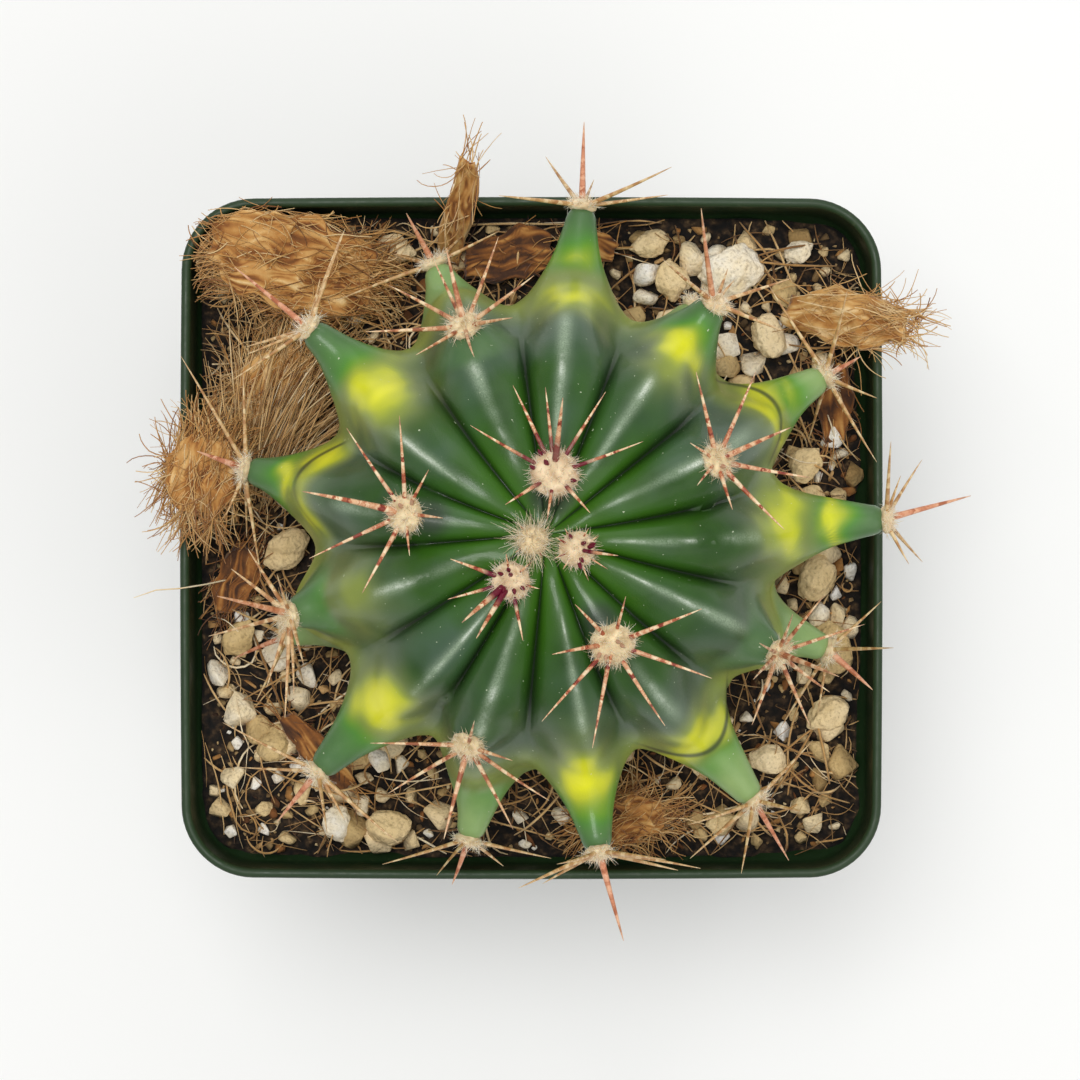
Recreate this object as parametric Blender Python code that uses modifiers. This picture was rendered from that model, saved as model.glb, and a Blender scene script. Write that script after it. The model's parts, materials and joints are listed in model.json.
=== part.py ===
"""A young barrel cactus in a square nursery pot.

The origin is the middle of the pot's flat underside, +Z is up, and the pot's longer rim side lies along X.
"""

import math
import random
from collections import namedtuple

import bmesh
import bpy
from mathutils import Matrix, Vector, noise
from mathutils.bvhtree import BVHTree

MM = 0.001
GAP = 0.3 * MM  # what touching pieces keep between them

# Pot: a thin-walled tapered square with round corners and a wider collar at the top.
POT_HEIGHT = 86 * MM
RIM_SIZE = (88.8 * MM, 86.2 * MM)
BASE_SIZE = (68 * MM, 66 * MM)
COLLAR_HEIGHT = 10 * MM
COLLAR_STEP = 1.5 * MM
RIM_CORNER = 9 * MM
BASE_CORNER = 7 * MM
WALL = 1.2 * MM
FOOT_CHAMFER = 0.9 * MM
RIM_ROUNDING = 0.35 * MM
SIDE_BOW = 0.3 * MM  # how far the filled pot's sides bulge
CORNER_STEPS = 5
SIDE_STEPS = 4
DRAIN_RADIUS = 4 * MM
DRAIN_SIDES = 14
DRAIN_PLACES = ((23 * MM, 22 * MM), (23 * MM, 0), (0, 22 * MM))  # one of each mirrored set

# Potting mix.
SOIL_LEVEL = 78.9 * MM
SOIL_BUMP = 0.9 * MM
SOIL_BUMP_LENGTH = 14 * MM
SOIL_RISE = 1.2 * MM  # of the mix round the stem
SOIL_RISE_RADIUS = 40 * MM
SOIL_RINGS = (0.97, 0.88, 0.76, 0.62, 0.46)  # shares of the soil's outline, from the wall inwards
LEDGE_FOOT = 0.7 * MM  # the soil follows the tapered wall this far above the start of the collar
LEDGE_TOP = 2.3 * MM  # and reaches out over the collar's ledge by this height

# Stem: its outline at the crest of a rib, from the growing point to the end of the tap root, as
# (radius, height, depth of the furrows), in millimetres.
STEM_OUTLINE = (
    (0, 124.6, 0),
    (4, 125.4, 0.8),
    (9, 126.0, 1.8),
    (15, 124.8, 2.8),
    (21, 121.4, 3.4),
    (26, 116.4, 3.8),
    (30, 109.6, 4.0),
    (32, 102, 4.0),
    (32, 94, 3.8),
    (30.5, 86.5, 3.4),
    (27.5, 80.5, 3.0),
    (23, 76, 2.2),
    (16, 72, 1.0),
    (9.5, 67, 0),
    (6, 59, 0),
    (4, 49, 0),
    (2.2, 41, 0),
    (0, 34, 0),
)
STEM_AXIS = Vector((1.8 * MM, 0.4 * MM, 0))
RIBS = 13
STEPS_PER_RIB = 4
STEM_RINGS = 24
RIB_SHARPNESS = 0.8  # power of the curve across a rib, lower for a rounder rib

# Areoles, youngest first. Each is 5/13 of a turn on from the last, so every rib carries each 13th one.
DIVERGENCE = -360 * 5 / RIBS
FIRST_ANGLE = 140
# (distance from the stem's axis in mm, height in mm, way it faces above the horizon and shift round
# the stem in degrees, radius of its wool pad in mm)
AREOLES = (
    (1.7, 126.6, 88, 64, 2.2),
    (3.9, 127.2, 80, -28, 2.2),
    (6.8, 127.6, 74, 10, 2.4),
    (7, 127.6, 72, -2, 3),
    (14.6, 127, 66, -5, 2.7),
    (16.4, 126.2, 60, 4, 2.4),
    (21.3, 123.2, 52, -6, 2.2),
    (26.3, 118.2, 42, -1, 2.2),
    (26.2, 118.2, 42, -1, 2.2),
    (31.2, 114, 34, -1, 2.1),
    (32.3, 113, 30, 2, 2.1),
    (34.5, 112, 32, -3, 2.1),
    (38.9, 110, 22, 1, 1.9),
    (38.2, 109, 14, -1, 1.9),
    (41.6, 106.5, 8, 1, 1.9),
    (40.4, 104.5, 4, 3, 1.9),
    (40.8, 102.5, 2, -1, 1.9),
    (42, 100, 0, 2, 1.9),
    (38.4, 97.5, -2, 0, 1.9),
    (40.4, 96, -3, 0.4, 1.9),
    (39.6, 94.5, -4, 5, 1.9),
    (37.1, 93, -4, 0, 1.9),
    (38.8, 91.5, -6, 4, 1.9),
    (35.5, 90, -8, 6, 1.9),
    (35, 88, -8, 0, 1.9),
    (34, 86.5, -10, 0, 1.9),
)
TUBERCLE_TIP = 2.1 * MM
TUBERCLE_LENGTH = 16 * MM  # most of it is inside the stem
TUBERCLE_FLARE = 0.28  # growth of its radius for each unit of length
TUBERCLE_SIDES = 10
PAD_FLATNESS = 0.5

# Spines: a ring of radial ones, longest where they point away from the growing point, and one central.
RADIAL_COUNT = 8
RADIAL_RADIUS = 0.36 * MM
RADIAL_LONG = 13 * MM
RADIAL_SHORT = 5.5 * MM
RADIAL_LIFT = 24
CENTRAL_RADIUS = 0.5 * MM
CENTRAL_LENGTH = 14.5 * MM
CENTRAL_LIFT = 52
SPINE_SIDES = 3
FULL_GROWN_AGE = 5  # areoles younger than this have shorter spines
SHORTEST_SPINE = 1.2 * MM  # past the pad's edge

# Loose grains: (x, y, length, turn), in millimetres and degrees.
GRAINS = (
    (25.5, 34, 8, 20),
    (18, 33, 5, 80),
    (15.5, 38, 4.5, 0),
    (34.5, 37, 3.6, 40),
    (32.8, 31.5, 4, 120),
    (30.5, 26, 5.5, 100),
    (35.3, 9.8, 5, 60),
    (39, 3.5, 4.5, 10),
    (36.8, -5, 6, 75),
    (38.2, -14.2, 6.5, 100),
    (38, -22.6, 5.2, 30),
    (31, -28.5, 5, 150),
    (-31.5, -1.5, 6, 15),
    (-17.5, 37.2, 5, 0),
    (-22.6, 29.6, 4, 100),
    (-33, -26.5, 5, 70),
    (-25, -36.6, 4.8, 110),
    (-18.3, -37.2, 5.6, 0),
    (-37.6, -13, 5, 60),
    (24.5, -36.8, 4, 15),
)
GRAIN_WIDTH = 0.78
GRAIN_HEIGHT = 0.6
GRAIN_ROUGHNESS = 0.5  # of a grain of radius 1
GRAIN_ROUGH_LENGTH = 1.1

# Husk pieces: name, middle (x, y), size (length, width, thickness) in mm, turn and pitch in degrees.
HUSKS = (
    ("husk_slab_corner", (-30.5, 35.2), (19, 8.5, 4), -12, -8),
    ("fibre_tuft_left", (-33.5, 19.5), (15, 11, 4.5), 55, 0),
    ("husk_cap_left", (-41.6, 8), (10, 9, 2.6), 80, 0),
    ("husk_blade_top", (-9.2, 41.4), (17, 3, 1.6), 78, 46),
    ("husk_chip_rust", (-3, 36.2), (9.5, 6, 3.6), 8, 0),
    ("husk_chip_amber", (7.4, 37.8), (7, 4, 2.8), -20, 0),
    ("husk_blade_right", (40.4, 28), (17, 5, 2), -12, 34),
    ("husk_chip_right", (39, 17.4), (10, 4, 2), 95, 0),
    ("husk_chip_left", (-38, -5.5), (7.5, 4, 3), 70, 0),
    ("husk_chip_low_left", (-27.5, -27.5), (10, 3.6, 2.4), -50, 0),
    ("husk_chip_bottom", (12.6, -36), (10, 6, 3.6), 15, 0),
)
HUSK_TAPER = 0.45  # share of its width and thickness lost at each end
HUSK_ROUGHNESS = 0.5 * MM
HUSK_ROUGH_LENGTH = 2.5 * MM
SEED_STEP = 5  # apart, in noise space, for one rough piece and the next
SETTLE_STEP = 0.2 * MM
SETTLE_REACH = 4 * MM
SHARP_ANGLE = math.radians(35)


def clear_scene():
    for obj in list(bpy.data.objects):
        bpy.data.objects.remove(obj, do_unlink=True)


def collection(name):
    made = bpy.data.collections.new(name)
    bpy.context.scene.collection.children.link(made)
    return made


def material(name, colour, roughness):
    made = bpy.data.materials.new(name)
    made.use_nodes = True
    shader = made.node_tree.nodes["Principled BSDF"]
    shader.inputs["Base Color"].default_value = (*colour, 1)
    shader.inputs["Roughness"].default_value = roughness
    shader.inputs["Metallic"].default_value = 0
    return made


def add_object(name, bm, home, finish=None):
    """The bmesh as a named object in a collection."""
    mesh = bpy.data.meshes.new(name)
    bm.to_mesh(mesh)
    bm.free()
    obj = bpy.data.objects.new(name, mesh)
    home.objects.link(obj)
    if finish:
        mesh.materials.append(finish)
    return obj


def as_cutter(obj):
    obj.hide_render = True
    obj.display_type = "WIRE"
    return obj


def boolean(obj, other, operation):
    made = obj.modifiers.new(operation.title(), "BOOLEAN")
    made.object = other
    made.operation = operation
    made.use_self = True  # the other mesh's own shapes may cross each other


def evaluated_tree(obj):
    """A tree of the object's final faces in world space, for finding what is near a point."""
    bpy.context.view_layer.update()
    shown = obj.evaluated_get(bpy.context.evaluated_depsgraph_get())
    mesh = shown.to_mesh()
    points = [shown.matrix_world @ vertex.co for vertex in mesh.vertices]
    faces = [tuple(face.vertices) for face in mesh.polygons]
    shown.to_mesh_clear()
    return BVHTree.FromPolygons(points, faces)


# Pot and soil


def section(half_x, half_y, corner, height, bow=0.0):
    """The points of a level rectangle with round corners and slightly bowed sides, anticlockwise."""
    flat = []
    for turn, (side_x, side_y) in enumerate(((1, 1), (-1, 1), (-1, -1), (1, -1))):
        middle = Vector((side_x * (half_x - corner), side_y * (half_y - corner)))
        for step in range(CORNER_STEPS + 1):
            angle = math.radians(90 * (turn + step / CORNER_STEPS))
            flat.append(middle + corner * Vector((math.cos(angle), math.sin(angle))))
    points = []
    for index, point in enumerate(flat):
        points.append(point)
        if index % (CORNER_STEPS + 1) == CORNER_STEPS:
            following = flat[(index + 1) % len(flat)]
            points += [point.lerp(following, step / SIDE_STEPS) for step in range(1, SIDE_STEPS)]
    return [
        Vector(
            (
                x * (1 + bow / half_x * (1 - (y / half_y) ** 2)),
                y * (1 + bow / half_y * (1 - (x / half_x) ** 2)),
                height,
            )
        )
        for x, y in points
    ]


def wall_section(height, inset):
    """A section of the tapered wall below the collar, moved in from its outer face."""
    share = height / (POT_HEIGHT - COLLAR_HEIGHT)
    half = [
        (1 - share) * base / 2 + share * (rim / 2 - COLLAR_STEP) - inset
        for base, rim in zip(BASE_SIZE, RIM_SIZE)
    ]
    corner = (1 - share) * BASE_CORNER + share * (RIM_CORNER - COLLAR_STEP) - inset
    return section(half[0], half[1], corner, height, SIDE_BOW * share)


def loft(bm, sections):
    """Joins each row of points to the next with a band of faces, and returns the rows as vertices."""
    rows = [[bm.verts.new(point) for point in points] for points in sections]
    for low, high in zip(rows, rows[1:]):
        for index, vertex in enumerate(low):
            after = (index + 1) % len(low)
            bm.faces.new((vertex, low[after], high[after], high[index]))
    return rows


def make_pot(home, cutters, finish):
    """An open shell with a wall of one thickness, a stepped collar and a rounded rim."""
    collar_start = POT_HEIGHT - COLLAR_HEIGHT
    half_x, half_y = (size / 2 for size in RIM_SIZE)
    bm = bmesh.new()
    rows = loft(
        bm,
        [
            [p - Vector((0, 0, FOOT_CHAMFER)) for p in wall_section(FOOT_CHAMFER, FOOT_CHAMFER)],
            wall_section(FOOT_CHAMFER, 0),
            wall_section(collar_start / 2, 0),
            wall_section(collar_start, 0),
            section(half_x, half_y, RIM_CORNER, collar_start + COLLAR_STEP / 2, SIDE_BOW),
            section(half_x, half_y, RIM_CORNER, POT_HEIGHT, SIDE_BOW),
        ],
    )
    bm.faces.new(reversed(rows[0]))
    pot = add_object("pot", bm, home, finish)
    wall = pot.modifiers.new("Wall", "SOLIDIFY")
    wall.thickness = WALL
    wall.offset = -1
    wall.use_even_offset = True
    rounding = pot.modifiers.new("Rim rounding", "BEVEL")
    rounding.width = RIM_ROUNDING
    rounding.segments = 2
    rounding.limit_method = "ANGLE"
    rounding.angle_limit = math.radians(60)
    boolean(pot, make_drain_cutter(cutters), "DIFFERENCE")
    return pot


def make_drain_cutter(cutters):
    """Eight round holes through the base, placed alike in its four quarters."""
    places = sorted(
        {(sx * x, sy * y) for x, y in DRAIN_PLACES for sx in (1, -1) for sy in (1, -1)}
    )
    bm = bmesh.new()
    for x, y in places:
        bmesh.ops.create_cone(
            bm,
            cap_ends=True,
            segments=DRAIN_SIDES,
            radius1=DRAIN_RADIUS,
            radius2=DRAIN_RADIUS,
            depth=6 * WALL,
            matrix=Matrix.Translation((x, y, WALL / 2)),
        )
    return as_cutter(add_object("drain_cutter", bm, cutters))


def soil_height(x, y):
    """The uneven top of the mix, which rises a little towards the stem."""
    rise = SOIL_RISE * max(0.0, 1 - math.hypot(x, y) / SOIL_RISE_RADIUS)
    return SOIL_LEVEL + rise + SOIL_BUMP * noise.noise(Vector((x, y, 0)) / SOIL_BUMP_LENGTH)


def make_soil(home, cutters, finish):
    """The mix fills the pot to partway up the collar, with a socket for the stem and its root."""
    inset = WALL + GAP * 1.5
    floor = WALL + GAP
    collar_start = POT_HEIGHT - COLLAR_HEIGHT
    half_x, half_y = (size / 2 - inset for size in RIM_SIZE)
    edge = section(half_x, half_y, RIM_CORNER - inset, collar_start + LEDGE_TOP, SIDE_BOW)
    bm = bmesh.new()
    levels = [
        [Vector((p.x, p.y, floor)) for p in wall_section(FOOT_CHAMFER + floor, inset + FOOT_CHAMFER)],
        wall_section(SOIL_LEVEL / 2, inset),
        wall_section(collar_start + LEDGE_FOOT, inset),
        edge,
    ]
    for share in SOIL_RINGS:
        levels.append([Vector((p.x * share, p.y * share, 0)) for p in edge])
        for point in levels[-1]:
            point.z = soil_height(point.x, point.y)
    rows = loft(bm, levels)
    bm.faces.new(reversed(rows[0]))
    bm.faces.new(rows[-1])
    soil = add_object("soil", bm, home, finish)
    socket = stem_shape(2 * GAP, ribbed=False)
    boolean(soil, as_cutter(add_object("stem_socket", socket, cutters)), "DIFFERENCE")
    return soil


# Stem


def outline_at(share):
    """(radius, height, furrow depth) in metres, on a smooth curve through the outline's points."""
    spans = len(STEM_OUTLINE) - 1
    place = min(share, 1) * spans
    first = min(int(place), spans - 1)
    t = place - first
    before, here, after, beyond = (
        Vector(STEM_OUTLINE[min(max(first + step, 0), spans)]) for step in (-1, 0, 1, 2)
    )
    point = 0.5 * (
        2 * here
        + (after - before) * t
        + (2 * before - 5 * here + 4 * after - beyond) * t**2
        + (3 * here - before - 3 * after + beyond) * t**3
    )
    return point * MM


def rib_angle(number):
    """The angle of a rib's crest. Each rib is the one that carries areoles number, number + 13 and so on."""
    return math.radians(FIRST_ANGLE + DIVERGENCE * number)


def stem_shape(swell, ribbed=True):
    """The stem as a round mesh drawn onto its outline, with a furrow between each two ribs."""
    bm = bmesh.new()
    bmesh.ops.create_uvsphere(bm, u_segments=RIBS * STEPS_PER_RIB, v_segments=STEM_RINGS, radius=1)
    crest = rib_angle(0)
    for vertex in bm.verts:
        share = math.acos(max(-1, min(1, vertex.co.z))) / math.pi
        angle = math.atan2(vertex.co.y, vertex.co.x) if 0 < share < 1 else 0
        radius, height, depth = outline_at(share)
        ahead, behind = outline_at(min(share + 0.01, 1)), outline_at(max(share - 0.01, 0))
        along = Vector((ahead.x - behind.x, ahead.y - behind.y)).normalized()
        outward = Vector((-along.y, along.x))
        lobe = abs(math.cos(RIBS * angle / 2)) ** RIB_SHARPNESS if ribbed else 1
        moved = swell - depth * (1 - lobe)
        radius = max(0, radius + outward.x * moved) if 0 < share < 1 else 0
        height += outward.y * moved
        vertex.co = STEM_AXIS + Vector(
            (radius * math.cos(angle + crest), radius * math.sin(angle + crest), height)
        )
    return bm


Areole = namedtuple("Areole", "middle facing along across pad_radius")


def areole(age):
    """An areole's middle, the way it faces, the way down its rib and the way across it, and its pad's size."""
    radius, height, elevation, shift, pad_radius = AREOLES[age]
    turn = rib_angle(age) + math.radians(shift)
    lift = math.radians(elevation)
    away = Vector((math.cos(turn), math.sin(turn), 0))
    up = Vector((0, 0, 1))
    middle = STEM_AXIS + away * radius * MM + up * height * MM
    facing = away * math.cos(lift) + up * math.sin(lift)
    along = away * math.sin(lift) - up * math.cos(lift)
    return Areole(middle, facing, along, facing.cross(along), pad_radius * MM)


def facing_matrix(middle, facing):
    """Carries a shape that stands on +Z to a place and a way to face."""
    return Matrix.Translation(middle) @ facing.to_track_quat("Z", "Y").to_matrix().to_4x4()


def make_stem(home, cutters, finish):
    """The ribbed stem, joined with a blunt cone for each tubercle."""
    stem = add_object("cactus_stem", stem_shape(0), home, finish)
    for age in range(len(AREOLES)):
        grown = areole(age)
        seat = grown.middle - grown.facing * (grown.pad_radius * PAD_FLATNESS + GAP)
        length = TUBERCLE_LENGTH if age >= FULL_GROWN_AGE else TUBERCLE_LENGTH / 3
        bm = bmesh.new()
        bmesh.ops.create_cone(
            bm,
            cap_ends=True,
            segments=TUBERCLE_SIDES,
            radius1=TUBERCLE_TIP + TUBERCLE_FLARE * length,
            radius2=TUBERCLE_TIP,
            depth=length,
            matrix=facing_matrix(seat - grown.facing * length / 2, grown.facing),
        )
        boolean(stem, as_cutter(add_object(f"tubercle_{age:02d}", bm, cutters)), "UNION")
    return stem


# Spines


def nearest_on_segment(point, start, end):
    run = end - start
    share = max(0, min(1, (point - start).dot(run) / run.length_squared))
    return start + run * share


def spine_is_clear(start, end, radius, own, others, trees, spines):
    """Whether a spine keeps the gap to every solid, and to the pads and spines of other areoles."""
    steps = max(2, int((end - start).length / (0.4 * MM)))
    for step in range(1, steps + 1):
        point = start.lerp(end, step / steps)
        room = radius * (1 - step / steps) + GAP
        if (point - own.middle).length > own.pad_radius * 1.05:
            for tree in trees:
                if tree.find_nearest(point, room + GAP)[0] is not None:
                    return False
        if any((point - other.middle).length < other.pad_radius + room for other in others):
            return False
        for low, high, thickness in spines:
            if (point - nearest_on_segment(point, low, high)).length < thickness + room:
                return False
    return True


def spine_directions(own, age, chance):
    """(way, length, radius) of each spine of an areole, as unit vectors and metres."""
    grown = min(1, (age + 0.8) / FULL_GROWN_AGE)
    found = []
    for number in range(RADIAL_COUNT):
        turn = math.radians((number + 0.5) * 360 / RADIAL_COUNT + chance.uniform(-9, 9))
        lift = math.radians(RADIAL_LIFT + chance.uniform(-7, 9) + 20 * (1 - grown))
        outward = (1 + math.cos(turn)) / 2
        length = RADIAL_SHORT + (RADIAL_LONG - RADIAL_SHORT) * outward
        level = own.along * math.cos(turn) + own.across * math.sin(turn)
        way = level * math.cos(lift) + own.facing * math.sin(lift)
        found.append((way, length * grown * chance.uniform(0.85, 1.1), RADIAL_RADIUS))
    lift = math.radians(CENTRAL_LIFT + chance.uniform(-8, 8))
    way = own.along * math.cos(lift) + own.facing * math.sin(lift)
    found.append((way, CENTRAL_LENGTH * grown * chance.uniform(0.9, 1.05), CENTRAL_RADIUS))
    return found


def add_spine(bm, start, end, radius):
    """A slim pyramid from inside the pad to its point."""
    way = end - start
    bmesh.ops.create_cone(
        bm,
        cap_ends=True,
        segments=SPINE_SIDES,
        radius1=radius,
        radius2=0,
        depth=way.length,
        matrix=facing_matrix(start.lerp(end, 0.5), way.normalized()),
    )


def make_pad(own):
    """A flattened ball of wool."""
    bm = bmesh.new()
    radius = own.pad_radius
    flatten = Matrix.Diagonal((radius, radius, radius * PAD_FLATNESS, 1))
    bmesh.ops.create_uvsphere(bm, u_segments=8, v_segments=5, radius=1)
    bmesh.ops.transform(bm, matrix=facing_matrix(own.middle, own.facing) @ flatten, verts=bm.verts)
    return bm


def seated(own, stem_tree):
    """The areole moved out along the way it faces until its pad keeps the gap to the stem."""
    while True:
        bm = make_pad(own)
        points = [vertex.co.copy() for vertex in bm.verts]
        bm.free()
        nearest = [(point, *stem_tree.find_nearest(point)) for point in points]
        if all((point - hit).dot(normal) > GAP for point, hit, normal, _, _ in nearest):
            return own
        own = own._replace(middle=own.middle + own.facing * 0.1 * MM)


def make_spine_clusters(home, cutters, finish, trees):
    """One areole after another: a wool pad joined with the spines that have room. trees[0] is the stem's."""
    areoles = [seated(areole(age), trees[0]) for age in range(len(AREOLES))]
    placed = []
    for age, own in enumerate(areoles):
        chance = random.Random(age)
        others = [other for other in areoles if other is not own]
        bm = bmesh.new()
        kept = []
        for way, length, radius in spine_directions(own, age, chance):
            start = own.middle + (way - own.facing * way.dot(own.facing)) * own.pad_radius * 0.5
            while length > own.pad_radius + SHORTEST_SPINE:
                end = own.middle + way * length
                if spine_is_clear(start, end, radius, own, others, trees, placed):
                    add_spine(bm, start, end, radius)
                    kept.append((start, end, radius))
                    break
                length *= 0.88
        placed += kept
        pad = add_object(f"spine_cluster_{age:02d}", make_pad(own), home, finish)
        if kept:
            boolean(pad, as_cutter(add_object(f"spines_{age:02d}", bm, cutters)), "UNION")
        else:
            bm.free()


# Loose pieces on the mix


def roughen(bm, amount, grain, number):
    """Pushes each vertex along its normal by smooth noise, its own for each number."""
    bm.normal_update()
    for vertex in bm.verts:
        shift = noise.noise(vertex.co / grain + Vector((number * SEED_STEP, 0, 0)))
        vertex.co += vertex.normal * shift * amount


def keeps_gap(bm, tree):
    """Whether a shape is outside a solid, and no corner of it is nearer than the gap."""
    if BVHTree.FromBMesh(bm).overlap(tree):
        return False
    for vertex in bm.verts:
        hit, normal, _, distance = tree.find_nearest(vertex.co, SETTLE_REACH)
        if hit is not None and (distance < GAP or (vertex.co - hit).dot(normal) < 0):
            return False
    return True


def settle(bm, trees):
    """Raises a shape from the level of the mix until it keeps the gap to everything below and beside it."""
    lowest = min(vertex.co.z for vertex in bm.verts)
    bmesh.ops.translate(bm, verts=bm.verts, vec=(0, 0, SOIL_LEVEL - SOIL_BUMP - lowest))
    while not all(keeps_gap(bm, tree) for tree in trees):
        bmesh.ops.translate(bm, verts=bm.verts, vec=(0, 0, SETTLE_STEP))


def make_grain(length, number):
    """An angular pebble, wider than it is tall."""
    size = length * MM / 2
    bm = bmesh.new()
    bmesh.ops.create_icosphere(bm, subdivisions=2, radius=1)
    roughen(bm, GRAIN_ROUGHNESS, GRAIN_ROUGH_LENGTH, number)
    shape = Matrix.Diagonal((size, size * GRAIN_WIDTH, size * GRAIN_HEIGHT, 1))
    bmesh.ops.transform(bm, matrix=shape, verts=bm.verts)
    return bm


def make_husk(size, number):
    """A splinter with ragged faces, thinner towards its ends."""
    bm = bmesh.new()
    bmesh.ops.create_cube(bm, size=1)
    bmesh.ops.subdivide_edges(bm, edges=bm.edges, cuts=2, use_grid_fill=True)
    for vertex in bm.verts:
        end = 1 - (2 * abs(vertex.co.x)) ** 3 * HUSK_TAPER
        vertex.co.y *= end
        vertex.co.z *= end
    bmesh.ops.transform(bm, matrix=Matrix.Diagonal((*(Vector(size) * MM), 1)), verts=bm.verts)
    roughen(bm, HUSK_ROUGHNESS, HUSK_ROUGH_LENGTH, number)
    return bm


def make_loose_pieces(home, pumice, husk, trees):
    """Every grain and husk in turn, each resting on the mix, the rim or the pieces made before it."""
    pieces = [
        (f"pumice_{number:02d}", make_grain(length, number), (x, y), turn, 0, pumice)
        for number, (x, y, length, turn) in enumerate(GRAINS)
    ]
    pieces += [
        (name, make_husk(size, number), middle, turn, pitch, husk)
        for number, (name, middle, size, turn, pitch) in enumerate(HUSKS)
    ]
    for name, bm, (x, y), turn, pitch, finish in pieces:
        place = (
            Matrix.Translation((x * MM, y * MM, 0))
            @ Matrix.Rotation(math.radians(turn), 4, "Z")
            @ Matrix.Rotation(-math.radians(pitch), 4, "Y")
        )
        bmesh.ops.transform(bm, matrix=place, verts=bm.verts)
        settle(bm, trees)
        trees.append(evaluated_tree(add_object(name, bm, home, finish)))


def main():
    clear_scene()
    home = collection("potted_round_cactus")
    cutters = collection("cutters")
    pot = make_pot(home, cutters, material("green_polypropylene", (0.012, 0.05, 0.028), 0.35))
    soil = make_soil(home, cutters, material("potting_mix", (0.12, 0.065, 0.035), 0.95))
    stem = make_stem(home, cutters, material("cactus_skin", (0.04, 0.13, 0.035), 0.4))
    trees = [evaluated_tree(obj) for obj in (stem, pot, soil)]
    pumice = material("pumice", (0.62, 0.52, 0.36), 0.9)
    make_loose_pieces(home, pumice, material("coir_husk", (0.36, 0.17, 0.06), 0.9), trees)
    make_spine_clusters(home, cutters, material("spine_and_wool", (0.72, 0.56, 0.38), 0.6), trees)
    for obj in home.objects:
        obj.data.shade_smooth()
        obj.data.set_sharp_from_angle(angle=SHARP_ANGLE)


main()
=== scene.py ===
"""A young barrel cactus in a square nursery pot, seen from above.

The fine stem, wool, spines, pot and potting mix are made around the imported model, whose frame they share.
"""

import json
import math
import random

import bmesh
import bpy
import numpy as np
from bpy.props import FloatProperty, FloatVectorProperty, IntProperty, PointerProperty
from mathutils import Matrix, Vector, noise
from mathutils.bvhtree import BVHTree

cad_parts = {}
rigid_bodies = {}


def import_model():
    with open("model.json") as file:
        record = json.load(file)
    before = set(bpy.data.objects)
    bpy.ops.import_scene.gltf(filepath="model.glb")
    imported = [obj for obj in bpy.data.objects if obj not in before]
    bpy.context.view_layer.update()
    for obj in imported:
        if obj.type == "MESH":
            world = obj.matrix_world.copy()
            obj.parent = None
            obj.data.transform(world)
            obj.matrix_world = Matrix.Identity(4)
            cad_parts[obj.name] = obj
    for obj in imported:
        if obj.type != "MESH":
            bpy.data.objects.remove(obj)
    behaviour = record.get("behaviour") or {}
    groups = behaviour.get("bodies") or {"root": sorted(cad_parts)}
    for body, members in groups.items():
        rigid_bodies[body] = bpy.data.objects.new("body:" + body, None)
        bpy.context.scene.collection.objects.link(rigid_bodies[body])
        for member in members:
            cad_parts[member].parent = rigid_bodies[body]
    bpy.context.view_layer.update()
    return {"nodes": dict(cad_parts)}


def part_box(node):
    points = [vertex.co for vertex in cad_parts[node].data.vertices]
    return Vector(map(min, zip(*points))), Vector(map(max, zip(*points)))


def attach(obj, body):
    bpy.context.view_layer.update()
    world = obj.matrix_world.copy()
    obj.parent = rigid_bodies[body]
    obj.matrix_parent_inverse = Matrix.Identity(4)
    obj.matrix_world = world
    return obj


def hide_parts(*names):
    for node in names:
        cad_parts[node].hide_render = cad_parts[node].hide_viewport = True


bl_info = {
    "name": "Potted barrel cactus",
    "version": (1, 0, 0),
    "blender": (4, 5, 0),
    "location": "3D View > Sidebar > Cactus",
    "description": "Makes a ribbed cactus with wool and spines in a square pot of gritty mix",
    "category": "Add Mesh",
}

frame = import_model()
POT_LOW, POT_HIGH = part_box("pot")

MM = 0.001
BODY = "root"
MERGE_REACH = 0.005 * MM
# Noise vectors start from this seed, so every run gives the same shapes.
NOISE_SEED = 7
noise.seed_set(NOISE_SEED)

# Stem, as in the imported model: its outline at the crest of a rib, from the growing point to the end of the
# tap root, as (radius, height, depth of the furrows), in millimetres.
STEM_OUTLINE = (
    (0, 124.6, 0),
    (4, 125.4, 0.8),
    (9, 126.0, 1.8),
    (15, 124.8, 2.8),
    (21, 121.4, 3.4),
    (26, 116.4, 3.8),
    (30, 109.6, 4.0),
    (32, 102, 4.0),
    (32, 94, 3.8),
    (30.5, 86.5, 3.4),
    (27.5, 80.5, 3.0),
    (23, 76, 2.2),
    (16, 72, 1.0),
    (9.5, 67, 0),
    (6, 59, 0),
    (4, 49, 0),
    (2.2, 41, 0),
    (0, 34, 0),
)
STEM_AXIS = (1.8, 0.4)
STEM_CENTRE = 98.0
RIBS = 13
DIVERGENCE = -360 * 5 / RIBS
FIRST_ANGLE = 140
# The youngest areoles sit on the crown, with hardly a tubercle under them.
CROWN_AREOLES = 5
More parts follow.
